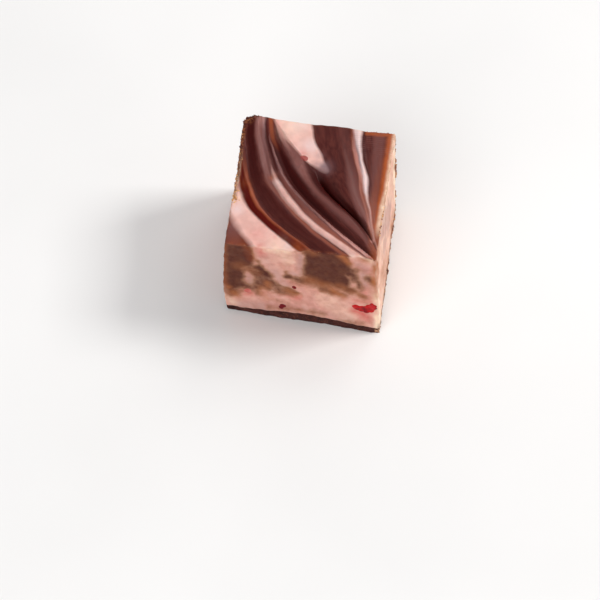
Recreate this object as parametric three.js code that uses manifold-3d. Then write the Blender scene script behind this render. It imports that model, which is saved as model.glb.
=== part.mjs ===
// A square of marbled chocolate and cherry fudge: dark base, pink cherry layer, swirled top.
// Millimetres, +Z up, standing on z = 0 with its front facing -Y.
import * as THREE from 'three';
import { mergeVertices } from 'three/addons/utils/BufferGeometryUtils.js';
import Module from 'manifold-3d';

const wasm = await Module();
wasm.setup();

// The block as it was meant to be cut
const blockSide = 32;
const blockHeight = 24.7;
const half = blockSide / 2;
const edgeRadius = 0.32;
const wornCorner = 1.1;      // the back left corner is rounder by this much
const wornReach = 2.6;
const gridCells = 46;
const wallCells = 6;

// How far the knife left each corner from the true block: top (x, y, z) and foot (x, y)
const corners = [
  { u: -1, v: 1, top: [-0.2, 0.7, 0.5], foot: [-0.2, 0.7] },
  { u: 1, v: 1, top: [-0.1, 0.6, 0.4], foot: [0.5, 0.1] },
  { u: 1, v: -1, top: [-0.3, 0.3, -0.05], foot: [1.1, -0.8] },
  { u: -1, v: -1, top: [0.6, 0.7, -0.95], foot: [0.6, 1.15] },
];

// The left wall swells at half height, less so towards the back, and stands back at its top there.
// The back wall stands out in two places, and the back left of the top rises
const leftBulge = { most: 0.75, taken: 0.45, fromY: -6, ramp: 6 };
const leftHollow = { y: 4, reach: 6, deep: 0.35 };
const backBows = [{ middle: -13.5, reach: 7, out: 0.55 }, { middle: 5, reach: 3.5, out: 0.35 }];
const backLift = { x: -14.5, reachX: 7, reachY: 4, rise: 0.7 };
const wallWave = 0.16;       // slow unevenness of the cut walls
const crumbWave = 0.07;      // short unevenness of the cut walls

// Layers, as heights above the foot
const baseThickness = 1.45;
const baseWave = 0.15;
const baseRise = { x: 0.5, y: -16, reach: 8, rise: 1.1 };      // the base is thicker at the front middle
const cherryTopLeft = 7.0;
const cherryTopRight = 10.8;
const cherryTopWave = 0.8;
const layerGap = 0.06;
const layerCells = 10;

// Paths of the knife strokes: x where a stroke crosses even stations, from the back edge to the front
const strokes = {
  lip:       [-16.9, -16.3, -14.3, -9.9, 0.7],
  paleBand:  [-12.4, -10.0, -6.8, 0.1, 12.2],
  crest:     [-11.0, -8.6, -4.0, 4.25, 15.3],
  trough:    [-10.0, -7.1, -2.6, 6.2, 16.0],
  roundFold: [-8.2, -4.9, 0.3, 9.1, 16.7],
  groove:    [-4.6, -1.2, 3.2, 11.9, 17.4],
  streak:    [8.1, 8.75, 9.65, 11.0, 11.8, 13.0, 14.0, 15.3, 17.6],
  rightEdge: [16.5, 17.0, 17.5, 18.5, 20.0],
};
const strokeOrder = Object.values(strokes);

// Heights across the strokes: place counted in strokes from the lip, then rise in millimetres
const swirlProfile = [
  [-1.0, 0.0], [-0.07, 0.0], [0.05, 0.75], [0.1, 0.9], [0.16, 0.6], [0.28, 0.1], [0.5, 0.1],
  [0.7, 0.3], [0.9, -0.1], [1.0, 0.25], [1.15, 0.3], [1.4, 0.05], [1.75, 0.3], [1.93, 0.05],
  [2.0, 0.45], [2.2, -0.35], [2.8, -0.65], [3.4, 0.1], [3.9, 0.65], [4.4, 0.7], [4.75, 0.3],
  [4.92, -0.1], [5.0, -1.7], [5.2, -0.75], [5.42, 0.1], [5.6, 0.3], [5.85, 0.1], [6.0, 0.3],
  [6.2, -0.2], [7.0, 0.1], [8.0, 0.1],
];
const fullSpacing = 3.0;     // strokes closer together than this are shallower
const grooveStart = 5.0;     // the deep groove opens in front of this y
const grooveRamp = 4.0;
const backShare = 0.3;       // the strokes level out towards the back edge
const backFrom = 14.5;
const backRamp = 9.0;

// The pink patch at the back, which the strokes left nearly flat: x of its borders at even stations
const patch = {
  left: [-9.9, -6.8, -3.3, 0.5, 2.0, 3.0, 4.0, 5.0, 6.0],
  right: [-1.7, -0.6, 1.6, 3.2, 4.2, 5.0, 6.0, 7.0, 8.0],
  tipY: 5.3,
  tipFall: -0.25,
  calm: 0.8,
};

// Pieces of cherry: where each lump sits (x, y and depth below the top), its half sizes, and how it
// leans in degrees. Those at the front are cut off level with the wall
const cherries = [
  {
    name: 'cherry_front_right',
    lumps: [
      { at: [11.3, -15.8, 17.2], size: [0.95, 0.8, 0.9], lean: 4 },
      { at: [12.4, -15.8, 17.4], size: [1.1, 0.8, 1.0], lean: 0 },
      { at: [13.3, -15.8, 17.6], size: [1.0, 0.9, 1.2], lean: 0 },
      { at: [14.2, -15.8, 17.0], size: [1.1, 0.9, 1.3], lean: -20 },
      { at: [14.8, -15.8, 16.3], size: [0.8, 0.9, 1.25], lean: -10 },
    ],
  },
  {
    name: 'cherry_front_low',
    lumps: [
      { at: [-4.2, -15.8, 20.3], size: [0.7, 0.8, 0.5], lean: 20 },
      { at: [-4.6, -15.8, 20.9], size: [0.55, 0.7, 0.6], lean: 0 },
    ],
  },
  { name: 'cherry_front_middle', lumps: [{ at: [-1.65, -15.8, 13.0], size: [0.5, 0.6, 0.55], lean: 0 }] },
  { name: 'cherry_front_left', lumps: [{ at: [-11.5, -15.8, 16.6], size: [0.75, 0.7, 0.8], lean: -35 }] },
  { name: 'cherry_top', lumps: [{ at: [-2.05, 7.0, 0.3], size: [0.95, 0.95, 0.6], lean: 10 }] },
];
const cherryProud = 0.06;    // how far a piece of cherry stands out of the surface
const cherryFit = 0.05;      // play between a piece of cherry and its pocket

const colours = {
  chocolate_base: { color: 0x3a1c16, roughness: 0.6 },
  cherry_layer: { color: 0xd8a092, roughness: 0.55 },
  marbled_top: { color: 0x4c2822, roughness: 0.35 },
  cherry: { color: 0xa30f16, roughness: 0.3 },
};

const mix = (a, b, t) => a + (b - a) * t;
const clamp = (t, low, high) => Math.min(high, Math.max(low, t));
const smooth = (t) => { const c = clamp(t, 0, 1); return c * c * (3 - 2 * c); };

const bell = (t) => Math.exp(-(t ** 2));      // 1 in the middle, running out on both sides

// The smaller of two values, with the corner between them rounded
const smoothMin = (a, b, reach) => {
  const t = clamp(0.5 + (0.5 * (b - a)) / reach, 0, 1);
  return mix(b, a, t) - reach * t * (1 - t);
};

// Smooth curve through values at even stations, from the back edge to the front
function alongStations(values, y) {
  const last = values.length - 1;
  const position = clamp(((half - y) / blockSide) * last, 0, last - 1e-9);
  const i = Math.floor(position);
  const t = position - i;
  const b = values[i];
  const c = values[i + 1];
  const a = i > 0 ? values[i - 1] : 2 * b - c;
  const d = i < last - 1 ? values[i + 2] : 2 * c - b;
  return b + 0.5 * t * (c - a + t * (2 * a - 5 * b + 4 * c - d + t * (3 * (b - c) + d - a)));
}

// Where a point of the top lies among the strokes, and how far apart they are there
function swirlPlace(x, y) {
  const crossings = strokeOrder.map((path) => alongStations(path, y));
  let k = 0;
  while (k < crossings.length - 2 && x > crossings[k + 1]) k += 1;
  const share = (x - crossings[k]) / (crossings[k + 1] - crossings[k]);
  const room = (i) => {
    const left = Math.max(0, i - 1);
    const right = Math.min(crossings.length - 1, i + 1);
    return (crossings[right] - crossings[left]) / (right - left);
  };
  const spacing = mix(room(k), room(k + 1), clamp(share, 0, 1));
  return { place: Math.max(-1, k + share), spacing };
}

// How far inside the pink patch a point lies
function insidePatch(x, y) {
  const left = (x - alongStations(patch.left, y)) * 0.75;
  const right = (alongStations(patch.right, y) - x) * 0.9;
  const front = (y - patch.tipY - patch.tipFall * x) * 0.9;
  return smoothMin(smoothMin(left, right, 1.0), front, 1.4);
}

// Height of the swirls over the plain top
function swirlRise(x, y) {
  const { place, spacing } = swirlPlace(x, y);
  let i = 0;
  while (i < swirlProfile.length - 2 && place > swirlProfile[i + 1][0]) i += 1;
  const [fromPlace, fromRise] = swirlProfile[i];
  const [toPlace, toRise] = swirlProfile[i + 1];
  let rise = mix(fromRise, toRise, smooth((place - fromPlace) / (toPlace - fromPlace)));
  const nearGroove = smooth(1 - Math.abs(place - 5) / 0.6);
  rise *= mix(1, smooth((grooveStart - y) / grooveRamp), nearGroove);
  rise *= 1 - patch.calm * smooth(insidePatch(x, y) / 1.6 + 0.5);
  rise *= mix(backShare, 1, smooth((backFrom - y) / backRamp));
  return rise * Math.min(1, spacing / fullSpacing);
}

// Uneven walls: a is the way along the wall, z the height
const wallPush = (a, z, seed) =>
  wallWave * Math.sin(0.31 * a + 1.7 * seed) * Math.cos(0.27 * z + seed)
  + crumbWave * Math.sin(1.7 * a + 0.9 * z + 2.3 * seed) * Math.sin(1.1 * z - 0.6 * a + seed);

// Rounds the edges of the true block, most of all at the worn corner
function softenEdges(p) {
  const toCorner = Math.hypot(p.x + half, p.y - half);
  const radius = edgeRadius + wornCorner * bell(toCorner / wornReach);
  const reach = half - radius;
  const top = blockHeight - radius;
  const core = new THREE.Vector3(clamp(p.x, -reach, reach), clamp(p.y, -reach, reach), Math.min(p.z, top));
  const out = p.clone().sub(core);
  const widest = Math.max(Math.abs(out.x), Math.abs(out.y), Math.abs(out.z));
  if (widest > 0) p.copy(out).setLength(widest).add(core);
}

// Takes a point of the true block to where it is on the cut piece
function cutShape(p) {
  softenEdges(p);
  const u = p.x / half;
  const v = p.y / half;
  const w = p.z / blockHeight;
  let [dx, dy, dz] = [0, 0, 0];
  for (const corner of corners) {
    const share = 0.25 * (1 + u * corner.u) * (1 + v * corner.v);
    dx += share * mix(corner.foot[0], corner.top[0], w);
    dy += share * mix(corner.foot[1], corner.top[1], w);
    dz += share * corner.top[2] * w;
  }
  const nearX = Math.abs(u) ** 8;
  const nearY = Math.abs(v) ** 8;
  dx += Math.sign(u) * nearX * wallPush(p.y, p.z, u > 0 ? 1 : 2);
  dy += Math.sign(v) * nearY * wallPush(p.x, p.z, v > 0 ? 3 : 4);
  const towardsBack = smooth((p.y - leftBulge.fromY) / leftBulge.ramp);
  const bulge = leftBulge.most * (1 - leftBulge.taken * towardsBack) * Math.sin(Math.PI * clamp(w, 0, 1));
  const hollow = leftHollow.deep * bell((p.y - leftHollow.y) / leftHollow.reach);
  if (u < 0) dx += nearX * (hollow - bulge);
  for (const { middle, reach, out } of backBows) {
    if (v > 0) dy += nearY * out * bell((p.x - middle) / reach);
  }
  const nearLift = bell((p.x - backLift.x) / backLift.reachX) * bell((p.y - half) / backLift.reachY);
  dz += (swirlRise(p.x, p.y) + backLift.rise * nearLift) * clamp(w, 0, 1) ** 5;
  p.x += dx;
  p.y += dy;
  p.z += dz;
}

const onlyPosition = (geometry) => {
  geometry.deleteAttribute('normal');
  geometry.deleteAttribute('uv');
  return mergeVertices(geometry, 1e-4);
};

function eachVertex(geometry, move) {
  const position = geometry.attributes.position;
  const p = new THREE.Vector3();
  for (let i = 0; i < position.count; i += 1) {
    p.fromBufferAttribute(position, i);
    move(p);
    position.setXYZ(i, p.x, p.y, p.z);
  }
  return geometry;
}

const toSolid = (geometry) => new wasm.Manifold(new wasm.Mesh({
  numProp: 3,
  vertProperties: geometry.attributes.position.array,
  triVerts: new Uint32Array(geometry.index.array),
}));

function toMesh(solid, name, finish) {
  const { vertProperties, triVerts } = solid.getMesh();
  const geometry = new THREE.BufferGeometry();
  geometry.setAttribute('position', new THREE.BufferAttribute(vertProperties, 3));
  geometry.setIndex(new THREE.BufferAttribute(triVerts, 1));
  geometry.computeVertexNormals();
  const material = new THREE.MeshStandardMaterial({ metalness: 0, ...finish });
  const mesh = new THREE.Mesh(geometry, material);
  mesh.name = name;
  return mesh;
}

// The whole piece: a finely divided block, shaped, then cut flat at its foot
function wholePiece() {
  const footExtra = 1;
  const tall = blockHeight + footExtra;
  const box = new THREE.BoxGeometry(blockSide, blockSide, tall, gridCells, gridCells, wallCells);
  box.rotateZ(Math.PI / 2).translate(0, 0, tall / 2 - footExtra);
  const ground = new THREE.BoxGeometry(2 * blockSide, 2 * blockSide, 2 * blockSide);
  ground.translate(0, 0, blockSide);
  return toSolid(eachVertex(onlyPosition(box), cutShape)).intersect(toSolid(onlyPosition(ground)));
}

// All that lies below a wavy sheet, used to part one layer from the next
function below(sheet, offset) {
  const wide = blockSide * 1.2;
  const slab = onlyPosition(new THREE.BoxGeometry(wide, wide, 2, layerCells, layerCells, 1));
  return toSolid(eachVertex(slab, (p) => { p.z = p.z < 0 ? -1 : sheet(p.x, p.y) + offset; }));
}

const baseTop = (x, y) => {
  const far = Math.hypot(x - baseRise.x, y - baseRise.y) / baseRise.reach;
  return baseThickness + baseRise.rise * bell(far) + baseWave * Math.sin(0.35 * x + 0.9) * Math.cos(0.28 * y);
};
const cherryTop = (x, y) =>
  mix(cherryTopLeft, cherryTopRight, smooth(0.5 + x / blockSide))
  + cherryTopWave * Math.sin(0.42 * x + 0.25 * y + 0.6) * Math.cos(0.3 * y - 0.12 * x);

// One lump of cherry, wrinkled and shaped with the block, grown by an amount all round. A grown lump
// is the pocket for one, so it reaches through the surface
function cherryLump({ at, size, lean }, grow) {
  const lump = onlyPosition(new THREE.IcosahedronGeometry(1, 1));
  const turn = new THREE.Matrix4().makeRotationY(THREE.MathUtils.degToRad(lean));
  const middle = new THREE.Vector3(at[0], at[1], blockHeight - at[2]);
  eachVertex(lump, (p) => {
    const wrinkle = 1 + 0.08 * Math.sin(5 * p.x + 3 * p.z + at[0]) * Math.cos(4 * p.y - 2 * p.x);
    p.set(p.x * (size[0] + grow), p.y * (size[1] + grow), p.z * (size[2] + grow));
    p.multiplyScalar(wrinkle).applyMatrix4(turn).add(middle);
    if (grow === 0) {
      p.y = Math.max(p.y, -half - cherryProud);
      p.z = Math.min(p.z, blockHeight + cherryProud);
    }
    cutShape(p);
  });
  return toSolid(lump);
}

const cherrySolid = (cherry, grow) => cherry.lumps
  .map((lump) => cherryLump(lump, grow))
  .reduce((whole, lump) => whole.add(lump));

const piece = wholePiece();
const apart = layerGap / 2;
const layers = {
  chocolate_base: piece.intersect(below(baseTop, -apart)),
  cherry_layer: piece.intersect(below(cherryTop, -apart)).subtract(below(baseTop, apart)),
  marbled_top: piece.subtract(below(cherryTop, apart)),
};
const pockets = cherries
  .map((cherry) => cherrySolid(cherry, cherryFit))
  .reduce((all, one) => all.add(one));

const group = new THREE.Group();
for (const [name, layer] of Object.entries(layers)) {
  group.add(toMesh(layer.subtract(pockets), name, colours[name]));
}
for (const cherry of cherries) {
  group.add(toMesh(cherrySolid(cherry, 0), cherry.name, colours.cherry));
}

export default group;
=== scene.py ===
# A square of marbled chocolate and cherry fudge on a pale floor.
# The block is cut straight, finely divided, and then shaped by the strokes of the knife.
import math
import bpy
import numpy as np
from mathutils import Euler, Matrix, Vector


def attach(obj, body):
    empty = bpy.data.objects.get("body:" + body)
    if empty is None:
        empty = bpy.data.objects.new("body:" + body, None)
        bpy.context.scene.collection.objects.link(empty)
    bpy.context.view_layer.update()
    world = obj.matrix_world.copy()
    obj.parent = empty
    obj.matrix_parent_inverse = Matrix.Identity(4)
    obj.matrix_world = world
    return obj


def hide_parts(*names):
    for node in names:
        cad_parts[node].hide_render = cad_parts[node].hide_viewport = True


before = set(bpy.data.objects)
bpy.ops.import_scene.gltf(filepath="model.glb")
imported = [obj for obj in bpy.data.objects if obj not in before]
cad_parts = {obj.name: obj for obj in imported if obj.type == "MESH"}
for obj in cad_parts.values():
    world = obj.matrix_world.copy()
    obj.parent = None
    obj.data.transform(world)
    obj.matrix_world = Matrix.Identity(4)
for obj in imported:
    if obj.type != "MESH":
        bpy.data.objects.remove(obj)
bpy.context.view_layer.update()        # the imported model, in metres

mm = 0.001


def srgb(red, green, blue):        # a colour as seen on a screen, 0 to 255
    steps = [value / 255 for value in (red, green, blue)]
    linear = [s / 12.92 if s < 0.04045 else ((s + 0.055) / 1.055) ** 2.4 for s in steps]
    return (*linear, 1.0)


# Camera, at the viewing angle of the picture
camera = {
    "azimuth": 7.68,         # degrees round from the front, to the right
    "elevation": 54.6,
    "aim": (-0.6, -10.59, 0.0),        # mm, where the axis meets the floor
    "distance": 753.1,       # mm
    "lens": 214.8,
}


def placeCamera():
    turn, tilt = math.radians(camera["azimuth"]), math.radians(camera["elevation"])
    back = Vector((math.sin(turn) * math.cos(tilt), -math.cos(turn) * math.cos(tilt), math.sin(tilt)))
    spot = (Vector(camera["aim"]) + back * camera["distance"]) * mm
    bpy.ops.object.camera_add(location=spot, rotation=back.to_track_quat("Z", "Y").to_euler())
    eye = bpy.context.object
    eye.name = "photoCamera"
    eye.data.lens = camera["lens"]
    eye.data.clip_start = 0.01
    bpy.context.scene.camera = eye


# Studio: a soft key from the right and a little behind, a panel over the back for the sheen, a broad fill
studio = {
    "floorSize": 3.0,        # m
    "floorColour": srgb(240, 240, 240),
    "floorShade": srgb(232, 232, 232),
    "floorCloud": (9.0, 3.0),        # clouds in a metre, detail
    "floorFinish": {"Roughness": 0.55, "SpecularIORLevel": 0.3},
    "skyColour": srgb(246, 246, 248),
    "skyStrength": 0.42,
    "lamps": {               # towards, distance and size in m, light that falls on a face turned to it
        "keyLight": ((0.70, 0.22, 0.62), 1.9, 0.62, 0.66, (1.0, 0.985, 0.96)),
        "sheenPanel": ((0.30, 0.60, 0.74), 1.6, 0.7, 0.16, (1.0, 0.94, 0.90)),
        "frontFill": ((-0.30, -0.80, 0.50), 2.4, 2.2, 0.62, (1.0, 0.995, 0.985)),
    },
}


def lightStudio():
    world = bpy.data.worlds.new("paleRoom")
    bpy.context.scene.world = world
    world.use_nodes = True
    sky = world.node_tree.nodes["Background"]
    sky.inputs["Color"].default_value = studio["skyColour"]
    sky.inputs["Strength"].default_value = studio["skyStrength"]
    for name, (towards, distance, size, light, colour) in studio["lamps"].items():
        spot = Vector(towards).normalized() * distance
        bpy.ops.object.light_add(type="AREA", location=spot, rotation=spot.to_track_quat("Z", "Y").to_euler())
        lamp = bpy.context.object
        lamp.name = name
        lamp.data.size = size
        lamp.data.energy = light * math.pi ** 2 * distance ** 2
        lamp.data.color = colour
    bpy.ops.mesh.primitive_plane_add(size=studio["floorSize"], location=(0, 0, 0))
    floor = bpy.context.object
    floor.name = "paleFloor"
    floor.data.materials.append(floorMaterial())
    bpy.context.scene.view_settings.view_transform = "Standard"


# Shader maths: a wire wraps a socket, and sums of wires add the nodes that work them out
class Wire:
    def __init__(self, tree, socket=None):
        self.tree = tree
        self.socket = socket

    def make(self, kind, settings=None, inputs=None, output=0):
        node = self.tree.nodes.new(kind)
        for key, value in (settings or {}).items():
            if key == "stops":
                setStops(node.color_ramp, value)
            else:
                setattr(node, key, value)
        for key, value in (inputs or {}).items():
            if isinstance(value, Wire):
                self.tree.links.new(value.socket, node.inputs[key])
            else:
                node.inputs[key].default_value = value
        return Wire(self.tree, node.outputs[output])

    def maths(self, operation, *values):
        return self.make("ShaderNodeMath", {"operation": operation}, dict(enumerate(values)))

    def __add__(self, other):
        return self.maths("ADD", self, other)

    def __sub__(self, other):
        return self.maths("SUBTRACT", self, other)

    def __rsub__(self, other):
        return self.maths("SUBTRACT", other, self)

    def __mul__(self, other):
        return self.maths("MULTIPLY", self, other)

    def __truediv__(self, other):
        return self.maths("DIVIDE", self, other)

    __radd__ = __add__
    __rmul__ = __mul__

    def clamp(self):
        return self.make("ShaderNodeClamp", {}, {0: self})

    def ramp(self, low, high):        # 0 below low, 1 above high, smooth between
        settings = {"interpolation_type": "SMOOTHSTEP"}
        return self.make("ShaderNodeMapRange", settings, {0: self, 1: low, 2: high, 3: 0.0, 4: 1.0})

    def mix(self, first, second):        # colours, by this wire as the share of the second
        return self.make("ShaderNodeMix", {"data_type": "RGBA"}, {0: self, 6: first, 7: second}, 2)

    def noise(self, scale, detail, seed=None):        # over this place, in four dimensions if seeded
        sockets = {"Vector": self, "Scale": scale, "Detail": detail}
        if seed is None:
            return self.make("ShaderNodeTexNoise", {}, sockets)
        return self.make("ShaderNodeTexNoise", {"noise_dimensions": "4D"}, {**sockets, "W": seed})

    def bump(self, strength, distance):        # this wire as a height, with the distance in mm
        sockets = {"Height": self, "Strength": strength, "Distance": distance * mm}
        return self.make("ShaderNodeBump", {}, sockets)


def setStops(ramp, stops):
    while len(ramp.elements) < len(stops):
        ramp.elements.new(1.0)
    for element, (position, colour) in zip(ramp.elements, stops):
        element.position = position
        element.color = colour


def newMaterial(name):
    material = bpy.data.materials.new(name)
    material.use_nodes = True
    tree = material.node_tree
    shader = tree.nodes["Principled BSDF"]
    return material, shader, Wire(tree)


def placeIn(start, unit):        # Object coordinates in a unit given in metres
    where = start.make("ShaderNodeTexCoord", output="Object")
    return start.make("ShaderNodeVectorMath", {"operation": "SCALE"}, {0: where, "Scale": 1 / unit})


def feed(shader, **inputs):        # sockets of the shader, by name with spaces left out
    for socket in shader.inputs:
        value = inputs.get(socket.name.replace(" ", ""))
        if isinstance(value, Wire):
            value.tree.links.new(value.socket, socket)
        elif value is not None:
            socket.default_value = value


def floorMaterial():
    material, shader, start = newMaterial("paleFloorFinish")
    cloud = placeIn(start, 1.0).noise(*studio["floorCloud"]).ramp(0.3, 0.8)
    tone = cloud.mix(studio["floorColour"], studio["floorShade"])
    feed(shader, BaseColor=tone, **studio["floorFinish"])
    return material


# The block as it was meant to be cut, in mm, and how far the knife left each corner from it
block = {
    "side": 32.0,
    "height": 24.7,
    "edgeRadius": 0.32,
    "wornCorner": 1.1,       # the back left corner is rounder by this much
    "wornReach": 2.6,
    "cells": 180,            # along each side of the top
    "rows": 72,              # down each wall
    "rowCrowding": 1.3,      # rows lie closer together near the top edge
    "baseThickness": 1.45,
    "baseWave": 0.15,
    "baseRise": (0.5, -16.0, 8.0, 1.1),        # x, y, reach, and how much thicker the base is there
    "corners": [             # u, v, top (x, y, z), foot (x, y)
        (-1, 1, (-0.2, 0.7, 0.5), (-0.2, 0.7)),
        (1, 1, (-0.1, 0.6, 0.4), (0.5, 0.1)),
        (1, -1, (-0.3, 0.3, -0.05), (1.1, -0.8)),
        (-1, -1, (0.6, 0.7, -0.95), (0.6, 1.15)),
    ],
    "leftBulge": (0.75, 0.45, -6.0, 6.0),      # mm, share taken off towards the back, from this y on, ramp
    "backBows": [(-13.5, 7.0, 0.55), (5.0, 3.5, 0.35)],        # x, reach and mm the back wall stands out
    "leftHollow": (4.0, 6.0, 0.35),        # y, reach and mm the left wall stands back
    "backLift": (-14.5, 7.0, 4.0, 0.7),        # x, reach along x, reach along y, mm the back left rises
    "wallWave": 0.16,        # long and short unevenness of the cut walls
    "crumbWave": 0.07,
    "wallPower": 8,          # how closely what shapes the walls, and what shapes the top, keeps to them
    "topPower": 5,
    "grain": ((0.045, 0.55, 3),),          # fine roughness of the cut walls: mm, size of the lumps, seed
    "grainFrom": 0.6,        # mm below the top over which it sets in
    "rubble": 0.3,           # roughness where an edge has crumbled
    "rubbleLumps": ((0.7, 0.62, 5), (0.3, 0.3, 6)),        # share, size, seed
    "rubbleSinks": (0.35, 0.6),        # shares of it by which crumbled walls and tops lie back
    "crumbled": [            # share of each such edge, and ramps: over what, start, reach
        (1.0, [("x", -14.9, -0.9), ("y", -5.5, 1.5), ("depth", 1.92, -1.2)]),
        (1.0, [("fromBackLeft", 3.2, -2.0), ("depth", 4.5, -3.0)]),
        (1.0, [("x", 15.2, 0.6), ("y", 14.4, 1.2), ("depth", 1.5, 3.0)]),
        (0.7, [("x", 15.4, 0.4), ("depth", 21.0, 2.5)]),
    ],
}
half = block["side"] / 2

# Knife strokes over the top: x where each crosses five even stations, from the back edge to the front
swirl = {
    "paths": {
        "lip": (-16.9, -16.3, -14.3, -9.9, 0.7),
        "paleBand": (-12.4, -10.0, -6.8, 0.1, 12.2),
        "crest": (-11.0, -8.6, -4.0, 4.25, 15.3),
        "trough": (-10.0, -7.1, -2.6, 6.2, 16.0),
        "roundFold": (-8.2, -4.9, 0.3, 9.1, 16.7),
        "groove": (-4.6, -1.2, 3.2, 11.9, 17.4),
        "streak": (8.1, 8.75, 9.65, 11.0, 11.8, 13.0, 14.0, 15.3, 17.6),
        "rightEdge": (16.5, 17.0, 17.5, 18.5, 20.0),
    },
    "profile": [             # place counted in strokes from the lip, rise in mm
        (-1.0, 0.0), (-0.07, 0.0), (0.05, 0.75), (0.1, 0.9), (0.16, 0.6), (0.28, 0.1), (0.5, 0.1),
        (0.7, 0.3), (0.9, -0.1), (1.0, 0.25), (1.15, 0.3), (1.4, 0.05), (1.75, 0.3), (1.93, 0.05),
        (2.0, 0.45), (2.2, -0.35), (2.8, -0.65), (3.4, 0.1), (3.9, 0.65), (4.4, 0.7), (4.75, 0.3),
        (4.92, -0.1), (5.0, -1.7), (5.2, -0.75), (5.42, 0.1), (5.6, 0.3), (5.85, 0.1), (6.0, 0.3),
        (6.2, -0.2), (7.0, 0.1), (8.0, 0.1),
    ],
    "fullSpacing": 3.0,      # strokes closer together than this are shallower
    "grooveStart": 5.0,      # the deep groove opens in front of this y
    "grooveRamp": 4.0,
    "grooveReach": 0.6,      # in strokes
    "backShare": 0.3,        # the strokes level out towards the back edge
    "backFrom": 14.5,
    "backRamp": 9.0,
    "patchLeft": (-9.9, -6.8, -3.3, 0.5, 2.0, 3.0, 4.0, 5.0, 6.0),        # borders of the pink patch
    "patchRight": (-1.7, -0.6, 1.6, 3.2, 4.2, 5.0, 6.0, 7.0, 8.0),
    "patchTip": (5.3, -0.25),           # y of its front border, and how that falls along x
    "patchSlant": (0.75, 0.9),       # its borders cross x at a slant, so widths along x are shortened
    "patchRound": (1.0, 1.4),        # how rounded it is where the sides meet, and at the tip
    "patchCalm": (0.8, 1.6),         # the strokes left the patch nearly flat: by how much, border in mm
    "bubble": (-2.6, 4.5, 0.55, 0.26),        # x, y, radius, height
    "fineLines": (0.012, 5.1, 1.3, 1.7),      # height, pitch, and how far and how fast the pitch changes
    "fineLinesFrom": 0.1,    # in strokes, so that the wall outside the lip has none
    "outside": 8.0,          # mm of top beyond the lip
}


def smooth(t):
    t = np.clip(t, 0.0, 1.0)
    return t * t * (3 - 2 * t)


def rampUp(value, start, reach, least=0.0):        # from least to 1, the other way for a negative reach
    return least + (1 - least) * smooth((value - start) / reach)


def rampsOver(places, ramps):        # ramps that multiply, each over one of the places
    return math.prod(rampUp(places[over], *values) for over, *values in ramps)


def placesOf(points):        # what ramps can go by, on the straight block
    x, y, z = points.T
    return {"x": x, "y": y, "depth": block["height"] - z, "fromBackLeft": np.hypot(x + half, y - half)}


def smoothMin(a, b, reach):        # the smaller of two, with the corner between them rounded
    t = np.clip(0.5 + 0.5 * (b - a) / reach, 0, 1)
    return b + (a - b) * t - reach * t * (1 - t)


def throughValues(values, position):        # smooth curve through evenly spaced values
    values = np.asarray(values, float)
    padded = np.concatenate([[2 * values[0] - values[1]], values, [2 * values[-1] - values[-2]]])
    position = np.clip(position, 0, len(values) - 1 - 1e-9)
    i = np.floor(position).astype(int)
    t = position - i
    a, b, c, d = (padded[i + k] for k in range(4))
    return b + 0.5 * t * (c - a + t * (2 * a - 5 * b + 4 * c - d + t * (3 * (b - c) + d - a)))


def alongStations(values, y):        # values at even stations from the back edge to the front
    if len(values) == 1:
        return np.full_like(y, values[0])
    return throughValues(values, (half - y) / block["side"] * (len(values) - 1))


def strokeX(name, y):
    return alongStations(swirl["paths"][name], y)


def lumpyNoise(points, size, seed):        # smooth random values, -1 to 1, in lumps of a size in mm
    lattice = np.random.default_rng(seed).uniform(-1, 1, (32, 32, 32))
    cell = points / size
    base = np.floor(cell).astype(int)
    t = smooth(cell - base)
    value = np.zeros(len(points))
    for corner in np.ndindex(2, 2, 2):
        weight = np.prod(np.where(corner, t, 1 - t), axis=1)
        value += weight * lattice[tuple(((base + corner) % 32).T)]
    return value


def lumpyMix(points, lumps, seed=0):        # a sum of them, each with a share, a size and its own seed
    return sum(share * lumpyNoise(points, size, seed + own) for share, size, own in lumps)


def pick(rows, index):        # one value a column, from the row that index names
    return np.take_along_axis(rows, index[None], axis=0)[0]


def swirlPlace(x, y):        # place counted in strokes from the lip, and how far apart the strokes are there
    crossings = np.stack([strokeX(name, y) for name in swirl["paths"]])
    k = (x > crossings[1:-1]).sum(axis=0)
    share = (x - pick(crossings, k)) / (pick(crossings, k + 1) - pick(crossings, k))
    room = np.gradient(crossings, axis=0)
    inside = np.clip(share, 0, 1)
    spacing = pick(room, k) * (1 - inside) + pick(room, k + 1) * inside
    return np.maximum(-1, k + share), spacing


def pinkPatch(x, y):        # how far inside the pink patch at the back a point lies
    tipY, tipFall = swirl["patchTip"]
    leftSlant, slant = swirl["patchSlant"]
    roundSides, roundTip = swirl["patchRound"]
    left = (x - alongStations(swirl["patchLeft"], y)) * leftSlant
    right = (alongStations(swirl["patchRight"], y) - x) * slant
    return smoothMin(smoothMin(left, right, roundSides), (y - tipY - tipFall * x) * slant, roundTip)


def acrossStrokes(place):        # place turned into rough mm, so that fine lines run along the strokes
    places = np.arange(-1, len(swirl["paths"]))
    middle = [crossings[2] for crossings in swirl["paths"].values()]
    return np.interp(place, places, [middle[0] - swirl["outside"], *middle])


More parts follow.
